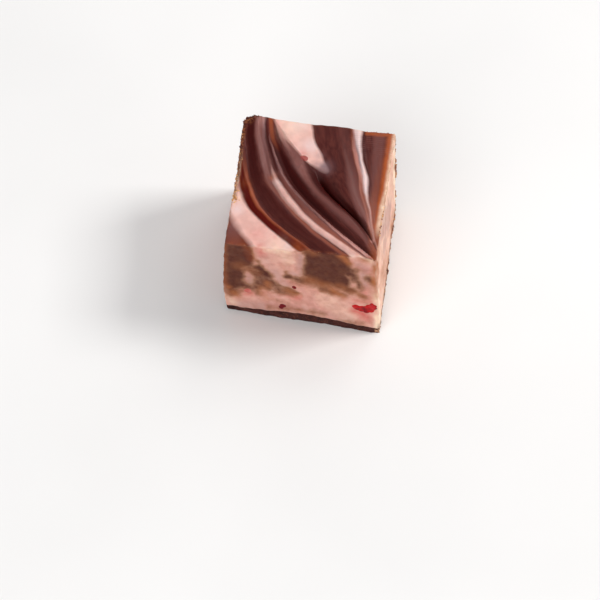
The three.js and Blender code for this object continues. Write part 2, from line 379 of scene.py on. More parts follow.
def swirlRise(x, y):
    place, spacing = swirlPlace(x, y)
    places, rises = (np.array(column) for column in zip(*swirl["profile"]))
    i = np.clip(np.searchsorted(places, place, side="left") - 1, 0, len(places) - 2)
    rise = rises[i] + (rises[i + 1] - rises[i]) * smooth((place - places[i]) / (places[i + 1] - places[i]))
    groove = list(swirl["paths"]).index("groove")
    nearGroove = smooth(1 - abs(place - groove) / swirl["grooveReach"])
    opening = rampUp(y, swirl["grooveStart"], -swirl["grooveRamp"])
    rise = rise * (1 + (opening - 1) * nearGroove)
    across = acrossStrokes(place)
    height, pitch, change, pace = swirl["fineLines"]
    lines = height * np.sin(pitch * across + change * np.sin(pace * across))
    rise = rise + lines * (place > swirl["fineLinesFrom"])
    most, border = swirl["patchCalm"]
    calm = most * smooth(pinkPatch(x, y) / border + 0.5)
    level = rampUp(y, swirl["backFrom"], -swirl["backRamp"], swirl["backShare"])
    bubbleX, bubbleY, radius, height = swirl["bubble"]
    bubble = height * smooth(1 - np.hypot(x - bubbleX, y - bubbleY) / radius)
    return rise * (1 - calm) * level * np.minimum(1, spacing / swirl["fullSpacing"]) + bubble


def wallPush(along, z, seed):        # how far an uneven wall stands out
    slow = np.sin(0.31 * along + 1.7 * seed) * np.cos(0.27 * z + seed)
    short = np.sin(1.7 * along + 0.9 * z + 2.3 * seed) * np.sin(1.1 * z - 0.6 * along + seed)
    return block["wallWave"] * slow + block["crumbWave"] * short


def softenEdges(points):        # rounds the edges of the straight block, most of all at the worn corner
    toCorner = np.hypot(points[:, 0] + half, points[:, 1] - half)
    radius = block["edgeRadius"] + block["wornCorner"] * np.exp(-(toCorner / block["wornReach"]) ** 2)
    reach = half - radius
    low = np.stack([-reach, -reach, np.full_like(radius, -1.0)], axis=1)
    high = np.stack([reach, reach, block["height"] - radius], axis=1)
    core = np.clip(points, low, high)
    out = points - core
    length = np.linalg.norm(out, axis=1)
    widest = abs(out).max(axis=1)
    scale = np.where(length > 0, widest / np.maximum(length, 1e-12), 1.0)
    return core + out * scale[:, None]


def crumbled(points):        # 0 to 1, where an edge has broken into crumbs
    places = placesOf(points)
    return np.maximum.reduce([share * rampsOver(places, ramps) for share, ramps in block["crumbled"]])


def cutShape(points):        # from the straight block to the piece as it was cut
    x, y, z = softenEdges(points).T
    u, v, w = x / half, y / half, z / block["height"]
    dx, dy, dz = np.zeros_like(x), np.zeros_like(x), np.zeros_like(x)
    for cornerU, cornerV, top, foot in block["corners"]:
        share = 0.25 * (1 + u * cornerU) * (1 + v * cornerV)
        dx += share * (foot[0] + (top[0] - foot[0]) * w)
        dy += share * (foot[1] + (top[1] - foot[1]) * w)
        dz += share * top[2] * w
    nearX, nearY = abs(u) ** block["wallPower"], abs(v) ** block["wallPower"]
    grain = lumpyMix(points, block["grain"]) * rampUp(block["height"] - points[:, 2], 0, block["grainFrom"])
    rubble = block["rubble"] * crumbled(points)
    broken = lumpyMix(points, block["rubbleLumps"])
    wallSinks, topSinks = block["rubbleSinks"]
    push = grain + rubble * (broken - wallSinks)
    dx += np.sign(u) * nearX * (wallPush(y, z, np.where(u > 0, 1, 2)) + push)
    dy += np.sign(v) * nearY * (wallPush(x, z, np.where(v > 0, 3, 4)) + push)
    most, taken, bulgeFrom, bulgeRamp = block["leftBulge"]
    bulge = most * (1 - taken * smooth((y - bulgeFrom) / bulgeRamp)) * np.sin(math.pi * np.clip(w, 0, 1))
    hollowY, reach, hollow = block["leftHollow"]
    dx += np.where(u < 0, nearX * (hollow * np.exp(-((y - hollowY) / reach) ** 2) - bulge), 0)
    for bowX, reach, bow in block["backBows"]:
        dy += np.where(v > 0, nearY * bow * np.exp(-((x - bowX) / reach) ** 2), 0)
    level = np.clip(w, 0, 1) ** block["topPower"]
    liftX, alongX, alongY, lift = block["backLift"]
    raised = lift * np.exp(-((x - liftX) / alongX) ** 2 - ((y - half) / alongY) ** 2)
    dz += (swirlRise(x, y) + raised + rubble * (broken - topSinks)) * level
    return np.stack([x + dx, y + dy, z + dz], axis=1)


def readPoints(piece):
    points = np.empty(len(piece.data.vertices) * 3)
    piece.data.vertices.foreach_get("co", points)
    return points.reshape(-1, 3) / mm


def writePoints(piece, points):
    piece.data.vertices.foreach_set("co", (points * mm).ravel())
    piece.data.update()


def writeAttribute(piece, name, values):
    layer = piece.data.attributes.new(name, "FLOAT", "POINT")
    layer.data.foreach_set("value", np.asarray(values, np.float32))


def baseTop(x, y):        # height of the dark base, which is not quite even
    riseX, riseY, reach, rise = block["baseRise"]
    middle = rise * np.exp(-((x - riseX) ** 2 + (y - riseY) ** 2) / reach ** 2)
    return block["baseThickness"] + middle + block["baseWave"] * np.sin(0.35 * x + 0.9) * np.cos(0.28 * y)


def straightSlab(name, low, high, cells, rows):        # a straight slab with finely divided top and walls
    bpy.ops.object.select_all(action="DESELECT")
    bpy.ops.mesh.primitive_grid_add(x_subdivisions=cells, y_subdivisions=cells,
                                    size=block["side"] * mm, location=(0, 0, 0))
    slab = bpy.context.object
    slab.name = name
    bpy.ops.object.mode_set(mode="EDIT")
    bpy.ops.mesh.select_all(action="SELECT")
    bpy.ops.transform.translate(value=(0, 0, high * mm))
    bpy.ops.mesh.extrude_region_move(TRANSFORM_OT_translate={"value": (0, 0, (low - high) * mm)})
    bpy.ops.mesh.dissolve_limited(angle_limit=0.01)        # the foot becomes one face
    bpy.ops.mesh.select_all(action="DESELECT")
    bpy.ops.object.mode_set(mode="OBJECT")
    heights = readPoints(slab)[:, 2]
    ends = np.empty(len(slab.data.edges) * 2, int)
    slab.data.edges.foreach_get("vertices", ends)
    upright = abs(np.diff(heights[ends.reshape(-1, 2)], axis=1)[:, 0]) > 0.5 * (high - low)
    bpy.ops.object.mode_set(mode="EDIT")
    bpy.ops.mesh.select_mode(type="EDGE")
    bpy.ops.object.mode_set(mode="OBJECT")
    slab.data.edges.foreach_set("select", upright)
    bpy.ops.object.mode_set(mode="EDIT")
    bpy.ops.mesh.subdivide(number_cuts=rows - 1)
    bpy.ops.mesh.select_all(action="SELECT")
    bpy.ops.mesh.normals_make_consistent(inside=False)
    bpy.ops.object.mode_set(mode="OBJECT")
    return slab


# Marbling on the top, in mm, with painted shade, sheen and highlights laid over it. A smear follows a path
# from the back edge to the front, given as x at even stations or as a stroke and a shift, and has half widths
# and strengths at even stations too
topMarks = {
    "softness": 0.32,        # mm over which chocolate passes into pink
    "lipWall": (0.9, 0.9, 0.9, 0.9, 1.0, 1.35, 1.1, 1.2, 1.5),        # mm of dark wall left of the lip
    "paleBand": (-1.5, -1.2, -1.0, -0.2, 0.65, 0.85, 0.85, 1.1, 1.45),        # half widths, none below 0
    "streak": (1.0, 0.55, 0.42, 0.6, 0.3, 0.12, 0.08, 0.04, 0.02),
    # x up to which the front left corner is chocolate
    "cornerBorder": (-40.0, -36.0, -32.0, -28.0, -24.0, -20.0, -16.4, -13.7, -10.2),
    "cornerFade": (0.5, 0.08, 1.5, 52),        # how fast that corner darkens, and its lumps: mm, size, seed
    "smears": [
        # the lip: painted shade, dark and red, on its outer wall, and painted sheen and a painted highlight
        # along its lit crest
        ("dark", ("lip", (-0.1, -0.1, -0.1, -0.15, -0.2)), (0.5, 0.55, 0.7, 0.85, 1.0), (1.0,)),
        ("red", ("lip", (-0.1, -0.1, -0.1, -0.15, -0.2)), (0.5, 0.55, 0.7, 0.85, 1.0),
         (0.6, 0.8, 0.9, 1.0, 1.0)),
        ("haze", ("lip", (1.0,)), (0.5,), (0, 0, 0, 0, 0.3, 0.8, 0.5, 0.3, 0.2)),
        ("warm", ("lip", (1.0,)), (0.5,), (0, 0, 0, 0.2, 0.5, 0.7, 0.6, 0.5, 0.5)),
        # the crumbly left edge, paler and golden in part as painted light on the crumbs
        ("cream", (-15.7,), (0.5,), (0, 0, 0, 0.5, 0.9, 0.7, 0, 0, 0)),
        ("warm", (-15.3,), (0.45,), (0, 0, 0, 0.25, 0.7, 0.4, 0, 0, 0)),
        # the strip between the streak and the right edge: a painted glow towards the edge, and painted sheen
        ("warm", (15.2, 14.8, 14.4, 14.1, 13.9, 14.1, 14.5, 15.0, 15.5), (1.1,),
         (0, 0.05, 0.15, 0.2, 0.3, 0.35, 0.4, 0.35, 0.1)),
        ("haze", (12.6, 12.7, 12.8, 13.0, 13.4, 13.9, 14.5, 15.2, 16.0), (0.9,),
         (0, 0, 0, 0.1, 0.5, 0.7, 0.6, 0.4, 0)),
        ("haze", (12.8, 13.1, 13.6, 14.6, 16.0), (1.2, 1.2, 0.9, 0.5, 0.5), (0.35, 0.45, 0.4, 0.4, 0.3)),
        # the broad band behind the lip, painted dark as shade
        ("dark", (-14.4, -14.15, -13.3, -12.6, -11.4, -8.8, -5.0, -0.7, 5.0),
         (0.8, 0.85, 0.9, 1.1, 1.5, 2.2, 2.4, 2.4, 2.4), (1.0, 1.0, 1.0, 0.95, 0.85, 0.6, 0.5, 0.5, 0.5)),
        # painted sheen on the ridge beside the pale band, warmer towards the front
        ("haze", (-12.7, -12.0, -10.6, -9.4, -8.5, -5.1, -1.4, 3.3, 9.1),
         (1.0, 1.15, 1.3, 1.2, 0.8, 0.75, 0.75, 0.8, 1.0), (0.8, 0.75, 0.75, 0.7, 0.4, 0.55, 0.55, 0.5, 0.4)),
        ("warm", (-12.7, -12.0, -11.15, -9.9, -8.7, -5.1, -1.4, 3.3, 9.1),
         (0.7,), (0, 0, 0, 0, 0.1, 0.2, 0.35, 0.35, 0.4)),
        # the pale band, and where it begins at the back, with a painted reflection and highlight at the back
        # edge and a line of painted shade beside it
        ("grey", ("paleBand", (-0.2,)), (1.2,), (0.0, 0.0, 0.1, 0.1, 0.05)),
        ("grey", (-11.7, -10.4, -8.9, -4.5, 3.0), (0.5,), (0.6, 0.2, 0.0, 0.0, 0.0)),
        ("pale", (-12.1,), (0.9,), (0.45, 0.1, 0, 0, 0, 0, 0, 0, 0)),
        ("dark", (-11.2, -9.4, -5.8, 1.8, 12.8), (0.5,), (0.8, 0.9, 0.4, 0.0, 0.0)),
        # painted sheen on the ridge between the pale band and the crest, and a painted highlight along the
        # crest's lit line
        ("haze", (-11.0, -10.2, -9.0, -7.2, -5.2, -1.9, 2.2, 7.5, 13.0),
         (0.5, 0.5, 0.5, 0.6, 0.7, 0.9, 1.0, 1.1, 0.9), (0, 0, 0, 0.2, 0.4, 0.45, 0.7, 0.9, 1.0)),
        ("warm", (-11.0, -10.2, -9.0, -7.2, -5.2, -1.9, 2.2, 7.3, 12.8),
         (0.5, 0.5, 0.5, 0.6, 0.7, 0.8, 0.8, 0.8, 0.8), (0, 0, 0, 0, 0.1, 0.1, 0.25, 0.35, 0.35)),
        ("pale", ("crest", (0.0, -0.1, -0.3, -0.35, -0.5)), (0.22, 0.26, 0.34, 0.45, 0.75),
         (0.0, 0.25, 0.35, 0.3, 0.35, 0.35, 0.45, 0.75, 0.7)),
        ("grey", ("crest", (-0.1, -0.1, -0.3, -0.6, -0.8)), (0.5,), (0.4, 0.4, 0.3, 0.2, 0.1)),
        # the trough, painted dark as shade, reddish at the back
        ("warm", (-10.4, -9.4, -7.6, -6.0, -3.2, 1.0, 6.0, 11.0, 16.0), (0.45,),
         (0.7, 0.45, 0, 0, 0, 0, 0, 0, 0)),
        ("red", (-10.4, -9.4, -7.6, -6.0, -3.2, 1.0, 6.0, 11.0, 16.0), (0.9,),
         (0.8, 0.5, 0, 0, 0, 0, 0, 0, 0)),
        ("dark", (-10.6, -9.5, -7.6, -5.1, -2.2, 1.4, 6.0, 11.4, 15.5),
         (0.5, 0.8, 1.2, 1.5, 1.6, 1.4, 1.1, 0.8, 0.6), (0.9, 1.0, 1.0, 1.0, 1.0, 0.95, 0.75, 0.3, 0.6)),
        # the left border of the pink patch
        ("pale", (-9.3, -7.5, -5.2, -3.0, -1.0, 2.0, 5.0, 8.0, 10.0), (0.5, 0.6, 0.9, 0.8),
         (0.4, 0.45, 0.2, 0, 0, 0, 0, 0, 0)),
        ("blush", (-9.3, -7.6, -5.6, -3.0, -1.0, 2.0, 5.0, 8.0, 10.0), (0.5,),
         (0.2, 0.5, 0.2, 0, 0, 0, 0, 0, 0)),
        ("line", ("patchLeft", (0.1,)), (0.22,), (0.75, 0.7, 0.4, 0, 0, 0, 0, 0, 0)),
        # painted sheen on the round fold and on the ridge beyond the groove, and painted shade down both
        # sides of the groove
        ("haze", (-8.0, -6.5, -4.6, -2.1, 0.7, 4.9, 9.5, 13.6, 16.2),
         (0.6, 1.0, 1.4, 1.6, 1.3, 1.5, 1.4, 0.8, 0.5), (0.2, 0.6, 0.65, 0.9, 0.6, 0.5, 0.45, 0.5, 0.4)),
        ("dark", ("groove", (0.9, 0.9, 0.9, 0.8, 0.4)), (1.2, 1.2, 1.5, 0.7, 0.4), (0.0, 0.2, 1.0, 0.6, 0.8)),
        ("dark", ("groove", (-0.9, -0.9, -0.9, -0.9, -0.9, -1.0, -0.8, -0.8, -0.6)),
         (1.0, 1.0, 1.0, 1.1, 1.3, 1.2, 0.8, 0.6, 0.5), (0.0, 0.0, 0.0, 0.8, 1.0, 0.8, 0.5, 0.35, 0.3)),
        ("haze", (5.0, 7.4, 9.6, 12.9, 16.2), (1.0, 1.2, 1.4, 0.8, 0.4), (0.1, 0.2, 0.5, 0.65, 0.5)),
        # beside the pale streak: paler lines, in part painted highlight, and painted shade in the crevice
        # right of it
        ("pale", ("streak", (-1.1, -0.9, -0.8, -0.4, -0.4)), (0.3, 0.5, 0.45, 0.25, 0.2),
         (0.2, 0.6, 0.4, 0.4, 0.1)),
        ("grey", ("streak", (-0.5,)), (0.5,), (0.2, 0.5, 0.8, 0.3, 0.0, 0.2, 0.3, 0.3, 0.0)),
        ("warm", ("streak", (-1.1, -0.9, -0.8, -0.4, -0.4)), (0.5,), (0.2, 0.4, 0.4, 0.3, 0.1)),
        ("blush", ("streak", (-1.2, -0.7, -0.9, -0.5, -0.4)), (0.45,),
         (0.5, 0.2, 0.3, 0.4, 0.3, 0.1, 0, 0, 0)),
        ("dark", ("streak", (1.5, 0.8, 0.9, 0.5, 0.4)), (0.35, 0.35, 0.3, 0.2, 0.2),
         (0.8, 0.7, 0.35, 0.1, 0.0)),
        # the chocolate corner at the front left
        ("haze", (-14.6,), (1.8,), (0, 0, 0, 0, 0, 0, 0.6, 0.6, 0.2)),
        ("warm", (-13.4,), (2.4,), (0, 0, 0, 0, 0, 0, 0, 0, 0.35)),
    ],
    "slant": 0.7,            # strokes cross the block at a slant, so widths along x are shortened
    "wander": ((0.16, 2.2, 50), (0.05, 0.8, 51)),        # mm that borders stray, size of the lumps, seed
    "smearFade": (1.4, 0.9),         # half widths from its middle where a smear ends, and over which
    "line": (1.2, 0.05),     # how much darker a line makes the pink, and the most that it comes to
    "blurs": [(0.6, 2.2, 4.6, 2.0, 2.0), (0.65, -6.8, 12.5, 2.24, 2.45)],        # share, x, y and radii
    "rims": {                # strength of the tint beside an edge, and ramps: over what, start, reach, least
        # the warm rim along the right edge is a painted glow of light through the thin edge
        "warm": [
            (1.5, [("x", 13.8, 1.5), ("y", -10.0, 3.0, 0.35)]), (0.9, [("y", 14.5, 0.8), ("x", 9.4, 0.6)]),
        ],
        "scored": [(1.0, [("x", 6.2, 1.0), ("y", 8.5, 2.5)])],
    },
    # a cream rim along the right edge of the top, painted highlight where the key light falls, which also
    # turns the chocolate there pink
    "creamRim": {"start": 15.0, "reach": 1.0, "wider": 0.4, "widens": (2.0, -6.0), "fades": (-11.5, 5.0)},
    "creamDepth": (0.4, 1.2, 0.8),         # mm below the edge, and over which its colour and the pink fade
    "creamPink": 1.5,        # how far it turns chocolate into pink
    "streakGlow": (1.1, (-2.0, 3.0, 0.2)),          # a painted highlight beside the streak: mm beside it, and its ramp along y
    "spots": [               # kind, x, y, radius in mm, strength; white spots paint highlights, dark ones shade, and those of the greyish-mauve tint sheen
        ("grey", 2.3, 5.5, 1.6, 1.0), ("grey", 0.6, 5.8, 1.1, 0.5), ("grey", 1.0, 8.2, 1.2, 0.35),
        ("white", -1.2, 10.6, 1.9, 0.7), ("cream", -5.6, 14.6, 2.6, 0.35), ("blush", -2.6, 8.6, 0.9, 0.35),
        ("blush", -9.6, -13.2, 2.0, 0.22), ("blush", -8.5, -15.6, 0.9, 0.4), ("blush", -5.8, -13.3, 0.5, 0.2),
        ("white", -2.6, -14.8, 1.5, 0.6), ("cream", -5.0, -15.2, 1.8, 0.4), ("white", -14.6, -7.2, 1.5, 0.6),
        ("cream", -14.8, -4.2, 0.9, 0.4), ("pale", 14.7, -11.7, 0.5, 1.0), ("warm", -8.0, 1.5, 0.8, 0.6),
        ("haze", -7.3, 2.6, 1.0, 0.5), ("haze", 0.8, -1.4, 1.3, 0.5), ("white", -6.1, 0.7, 1.1, 0.6),
        ("white", -4.0, 16.0, 2.4, 0.6), ("warm", -13.6, -0.8, 1.2, 0.3), ("dark", -7.2, 5.6, 0.9, 0.6),
        ("dark", -9.0, 10.4, 0.8, 0.5), ("warm", -0.8, -15.4, 1.4, 0.6),
    ],
}

# Marbling on the cut walls: rounded streaks from one point to another, along the wall and down from the
# top edge in mm, with a radius and a strength. Chocolate adds up, pink after it takes away, others tint
walls = {
    "front": {
        "chocolate": [
            ((-14.4, -2.0), (-14.2, 4.0), 3.8, 1.1), ((-14.5, 5.0), (-14.4, 13.8), 1.9, 1.05),
            ((-14.2, 14.2), (-11.2, 14.9), 1.1, 0.75), ((-12.2, 7.0), (-9.6, 8.6), 1.7, 0.5),
            ((-12.4, 9.6), (-12.2, 11.4), 0.5, 0.3), ((-9.1, 5.2), (-8.7, 7.4), 0.5, 0.55),
            ((-8.7, 7.4), (-6.6, 10.4), 0.75, 0.8), ((-8.6, 10.8), (-8.3, 13.8), 1.7, 0.6),
            ((-7.2, 13.2), (-7.1, 15.4), 0.6, 0.55), ((-10.0, 13.6), (-9.2, 17.0), 0.7, 0.5),
            ((-6.4, 12.6), (-5.0, 15.4), 0.8, 0.6), ((-4.8, 13.9), (-1.0, 15.2), 0.4, 0.6),
            ((-3.4, 15.3), (-0.9, 15.7), 0.6, 0.6), ((-5.0, 16.4), (-2.0, 16.4), 0.9, 0.25),
            ((-3.2, 8.2), (-2.5, 9.8), 0.3, 0.6), ((-3.0, 10.0), (0.4, 10.6), 0.65, 0.75),
            ((-15.2, 16.0), (-14.0, 17.6), 1.1, 0.7), ((-15.8, 14.8), (-15.0, 15.8), 0.6, 0.7),
            ((5.2, -2.0), (5.4, 5.0), 4.5, 1.1), ((2.8, 7.2), (8.0, 8.6), 2.3, 0.95),
            ((8.6, -2.0), (10.0, 7.4), 0.85, 0.85), ((10.9, 4.2), (12.2, 10.4), 0.8, 0.65),
            ((7.8, 10.4), (10.2, 11.4), 0.9, 0.8), ((10.2, 11.6), (13.4, 13.5), 0.7, 0.45),
            ((4.6, 12.8), (8.2, 13.8), 0.9, 0.55), ((1.8, 9.8), (5.2, 10.6), 1.1, 0.85),
            ((1.6, 11.4), (4.0, 12.2), 1.0, 0.25), ((-1.6, 11.8), (-0.4, 12.0), 0.6, 0.3),
            ((0.6, 11.4), (10.0, 12.6), 1.2, 0.2), ((14.3, 6.8), (15.6, 8.2), 0.85, 0.7),
            ((12.0, 4.2), (13.2, 4.6), 0.6, 0.3), ((12.8, 15.2), (13.6, 15.6), 0.4, 0.3),
            ((10.8, 2.5), (12.2, 2.8), 0.5, 0.25), ((13.2, 0.6), (14.2, 1.0), 0.5, 0.35),
            # the streak from (-6.8, 22.2) to (4.0, 22.0), just above the base, paints the shade there
            ((-1.3, 0.8), (-0.9, 1.4), 0.3, 0.3), ((-6.8, 22.2), (4.0, 22.0), 0.9, 0.35),
            ((8.6, 22.6), (12.6, 22.6), 0.9, 0.25), ((0.4, 8.6), (1.4, 9.0), 0.6, 0.4),
            ((-10.6, 1.4), (-10.4, 12.6), 0.5, 0.25), ((0.8, 0.6), (2.4, 1.2), 0.4, 0.35),
            ((-13.8, 16.6), (-10.4, 16.8), 0.6, 0.3), ((-6.4, 16.6), (-1.6, 16.8), 0.6, 0.25),
            ((-5.6, 19.6), (-3.4, 20.0), 0.6, 0.25), ((-16.2, 17.2), (-15.2, 18.8), 0.8, 0.6),
        ],
        "pink": [
            ((9.9, 6.8), (10.7, 10.0), 0.5, 0.7), ((-11.3, 10.4), (-11.0, 14.2), 0.8, 0.6),
        ],
        "blush": [
            ((-13.2, 16.6), (-10.0, 17.0), 0.8, 0.5), ((-6.6, 21.8), (-1.0, 21.7), 0.9, 0.5),
            ((-15.6, 17.8), (-14.6, 18.8), 0.6, 0.4), ((11.4, 15.2), (14.6, 15.0), 0.7, 0.4),
            ((-8.5, 0.8), (-8.2, 2.6), 0.7, 0.5), ((-11.6, 15.8), (-11.2, 17.4), 0.9, 0.6),
            ((-4.6, 15.8), (-1.4, 17.0), 1.2, 0.65), ((11.0, 18.8), (13.4, 20.2), 1.0, 0.65),
            ((12.0, 3.2), (13.6, 4.2), 0.9, 0.5), ((15.3, 15.6), (15.5, 18.2), 0.5, 0.7),
            ((-1.6, 12.0), (0.4, 11.6), 1.0, 0.35), ((12.6, 10.0), (13.6, 13.0), 1.0, 0.35),
        ],
        "warm": [
            ((-11.0, 0.4), (-10.6, 4.4), 0.8, 0.25), ((-10.0, 0.8), (-9.8, 4.6), 0.5, 0.6),
            ((-13.0, 7.4), (-9.6, 9.4), 1.4, 0.3), ((-14.2, 17.8), (-13.4, 19.4), 0.9, 0.9),
            ((-16.0, 1.0), (-15.9, 15.0), 0.4, 0.6), ((-16.0, 15.0), (-15.2, 16.0), 0.7, 0.9),
            ((-16.0, 19.0), (-13.6, 19.4), 0.9, 0.45), ((-8.4, 15.6), (-7.7, 18.8), 1.0, 0.7),
            ((-7.3, 13.2), (-7.1, 14.6), 0.6, 0.9), ((-3.0, 15.3), (-0.6, 16.2), 0.8, 0.7),
            ((-3.4, 6.0), (-3.2, 7.6), 0.9, 0.3), ((1.4, 10.4), (8.0, 12.4), 1.3, 0.5),
            ((8.4, -0.4), (9.8, 1.8), 0.9, 1.1), ((1.2, 0.2), (2.6, 0.8), 0.9, 0.5),
            ((6.4, 12.4), (8.6, 14.6), 1.0, 0.9), ((8.0, 10.6), (12.8, 13.4), 0.9, 0.5),
            ((12.6, 0.4), (14.2, 1.2), 0.9, 0.6), ((2.0, 13.2), (13.0, 14.2), 1.2, 0.22),
            ((15.7, 2.6), (15.8, 12.4), 0.6, 1.5), ((14.6, 9.4), (15.4, 13.4), 0.8, 0.7),
        ],
        "red": [
            ((-11.2, 0.6), (-10.6, 5.0), 0.9, 0.6),
        ],
        "grey": [
            ((-0.2, 1.4), (0.2, 8.0), 0.7, 0.9), ((-5.6, 8.6), (-3.8, 13.0), 1.6, 0.55),
            ((-2.2, 8.8), (-0.4, 9.0), 0.9, 0.6), ((-11.2, 10.6), (-10.9, 14.2), 1.0, 0.7),
            ((-6.2, 13.0), (-4.8, 15.4), 0.9, 0.7), ((12.0, 2.8), (13.6, 4.2), 1.2, 0.6),
            ((13.2, 5.4), (13.4, 8.8), 1.1, 0.7), ((-13.0, 21.6), (-2.0, 21.8), 1.3, 0.55),
            ((2.0, 21.4), (10.0, 21.8), 0.9, 0.35), ((-8.0, 3.6), (-5.6, 7.6), 1.4, 0.25),
            ((0.2, 21.2), (0.4, 21.4), 1.0, 0.5), ((-15.0, 16.2), (-14.4, 16.8), 0.7, 0.6),
        ],
        # the cream down the right edge, from 12.6 mm to the foot, is a painted highlight on the rounded
        # corner
        "cream": [
            ((-7.0, 0.2), (-3.0, 0.8), 1.0, 0.6), ((-3.6, 1.4), (-2.4, 4.4), 1.2, 0.3),
            ((5.0, 16.0), (9.0, 21.0), 2.4, 0.2), ((-15.6, 19.6), (-14.6, 21.6), 0.8, 0.5),
            ((15.9, 12.6), (15.9, 24.0), 0.7, 1.4), ((14.4, 0.5), (14.8, 0.9), 0.4, 1.0),
        ],
    },
    "right": {
        "chocolate": [
            ((15.0, -0.6), (15.8, 9.6), 0.8, 0.6), ((-15.4, 0.8), (-14.4, 5.0), 1.0, 0.7),
            ((-13.6, 0.6), (-10.6, 1.8), 1.2, 0.3), ((6.4, 20.0), (10.0, 24.0), 1.6, 0.4),
            ((-9.0, 13.0), (-6.0, 18.0), 1.6, 0.15), ((-11.0, 2.4), (-8.0, 4.0), 0.7, 0.2),
        ],
        "warm": [
            ((-15.8, 0.6), (-14.4, 7.0), 1.6, 1.3), ((-16.0, 5.6), (-15.7, 11.6), 0.8, 1.2),
            ((-12.6, 0.6), (-10.4, 5.4), 1.6, 0.9), ((9.0, 1.0), (13.0, 7.0), 1.7, 0.35),
            ((-10.6, 13.0), (-1.0, 21.0), 2.6, 0.5), ((7.4, 17.6), (11.0, 24.0), 2.2, 0.8),
            ((8.0, 7.0), (11.4, 11.6), 1.6, 0.3),
        ],
        "grey": [
            ((-5.0, 2.0), (4.0, 12.0), 3.6, 0.7), ((-5.0, 10.5), (-1.5, 14.5), 1.6, 0.6),
        ],
        # on this wall the cream paints the key light over the whole face and highlights along its edges
        "cream": [
            ((-12.0, 12.0), (16.0, 12.0), 12.0, 0.4), ((-15.2, 12.4), (-15.0, 24.0), 1.3, 1.5),
            ((2.0, 3.0), (6.0, 4.6), 2.0, 0.4), ((-6.0, 1.6), (-1.0, 1.6), 1.0, 1.0),
            ((-9.0, 0.5), (16.0, 0.5), 0.9, 1.0), ((14.2, 3.0), (14.6, 22.0), 1.7, 1.5),
        ],
        "blush": [
            ((1.0, 6.0), (7.4, 13.0), 0.7, 0.2),
        ],
    },
    "back": {
        "chocolate": [
            ((-13.0, -1.0), (-12.2, 7.6), 3.3, 1.5), ((3.0, -1.0), (4.2, 5.4), 3.6, 1.6),
            ((12.9, -1.0), (13.4, 9.6), 2.7, 1.5), ((4.2, 7.5), (8.6, 11.2), 1.1, 0.8),
            ((-11.4, 11.6), (-3.6, 13.8), 0.9, 0.7), ((-7.0, 4.0), (-3.4, 9.4), 0.7, 0.75),
            ((8.8, 11.4), (13.0, 14.2), 1.2, 0.75), ((-3.0, 15.4), (5.0, 17.0), 0.6, 0.5),
            ((-2.4, 8.6), (0.4, 9.6), 0.35, 0.6), ((-16.0, 14.6), (-12.8, 16.6), 1.1, 0.65),
            ((-9.0, 9.0), (-8.0, 12.0), 1.4, 0.4), ((1.0, 11.0), (4.6, 12.6), 0.9, 0.35),
        ],
        "pink": [
            ((11.0, 3.4), (12.2, 8.6), 0.6, 0.8), ((-14.0, 4.6), (-12.8, 8.4), 0.6, 0.7),
        ],
        "warm": [
            ((-13.0, 10.4), (-9.4, 11.4), 1.2, 0.5), ((3.0, 9.2), (8.0, 11.6), 1.4, 0.4),
        ],
        "grey": [
            ((-5.0, 2.0), (-3.0, 8.0), 1.2, 0.25), ((8.6, 2.0), (9.2, 7.0), 0.8, 0.25),
        ],
        "blush": [
            ((-6.4, 16.4), (-5.4, 17.6), 0.9, 0.4), ((6.0, 18.6), (9.0, 19.2), 0.8, 0.3),
        ],
    },
    "left": {
        "chocolate": [
            ((11.8, -1.0), (11.4, 6.8), 4.3, 1.5), ((-14.4, -1.0), (-14.6, 12.6), 2.2, 1.5),
            ((4.8, 8.4), (10.4, 11.2), 1.2, 0.9), ((-5.4, -1.0), (5.4, -0.6), 1.3, 1.2),
            ((-15.0, 15.4), (-8.4, 17.2), 0.9, 0.6), ((5.0, 12.6), (13.0, 15.0), 1.0, 0.7),
            ((-4.0, 7.4), (3.0, 10.9), 0.8, 0.75), ((-8.8, 2.6), (-5.0, 7.8), 0.6, 0.7),
            ((-9.6, 10.2), (-6.4, 13.6), 0.9, 0.7), ((-1.6, 14.2), (2.4, 15.6), 0.4, 0.6),
            ((-12.0, 9.0), (-9.6, 11.0), 0.8, 0.4),
        ],
        "pink": [
            ((8.8, 3.0), (12.4, 7.8), 0.6, 0.8), ((-13.2, 7.6), (-13.8, 11.6), 0.5, 0.6),
        ],
        "warm": [
            ((6.0, 11.6), (13.4, 13.0), 1.2, 0.5), ((-15.6, 13.4), (-12.0, 15.6), 1.0, 0.6),
            ((-2.0, 9.8), (3.4, 12.0), 0.8, 0.4),
        ],
        "grey": [
            ((-3.0, 3.0), (1.0, 6.4), 1.4, 0.25),
        ],
        "blush": [
            ((-1.0, 17.4), (0.8, 18.2), 0.9, 0.4), ((9.4, 17.6), (11.0, 18.4), 0.8, 0.3),
        ],
    },
    "cornerBlend": 1.2,      # mm over which one wall's pattern passes into the next, and into the top's
    "topBlend": 0.6,
    "cutBlend": 0.35,        # and the glossy top into the dull cut
    "rim": 0.4,              # width of the worn edges, painted lighter in part as a highlight
    "warp": {"front": 0.3, "right": 1.15, "back": 0.3, "left": 0.3},       # mm the pattern is pulled about
    "warpLumps": ((1.0, 2.8, 0), (0.5, 1.1, 1)),         # share, size, seed
    "frontShare": 2,         # at its corners the front counts this many times as much as its neighbours
    "spread": 1.2,           # mm between plain pink and full chocolate
    "level": 0.4,            # share of chocolate at which the mix looks half dark
    "softness": (0.85, 0.9),        # mm over which a streak fades, and the share of its radius added
    "softest": 1.6,
}
tints = ("haze", "dark", "red", "warm", "pale", "blush", "grey", "cream")


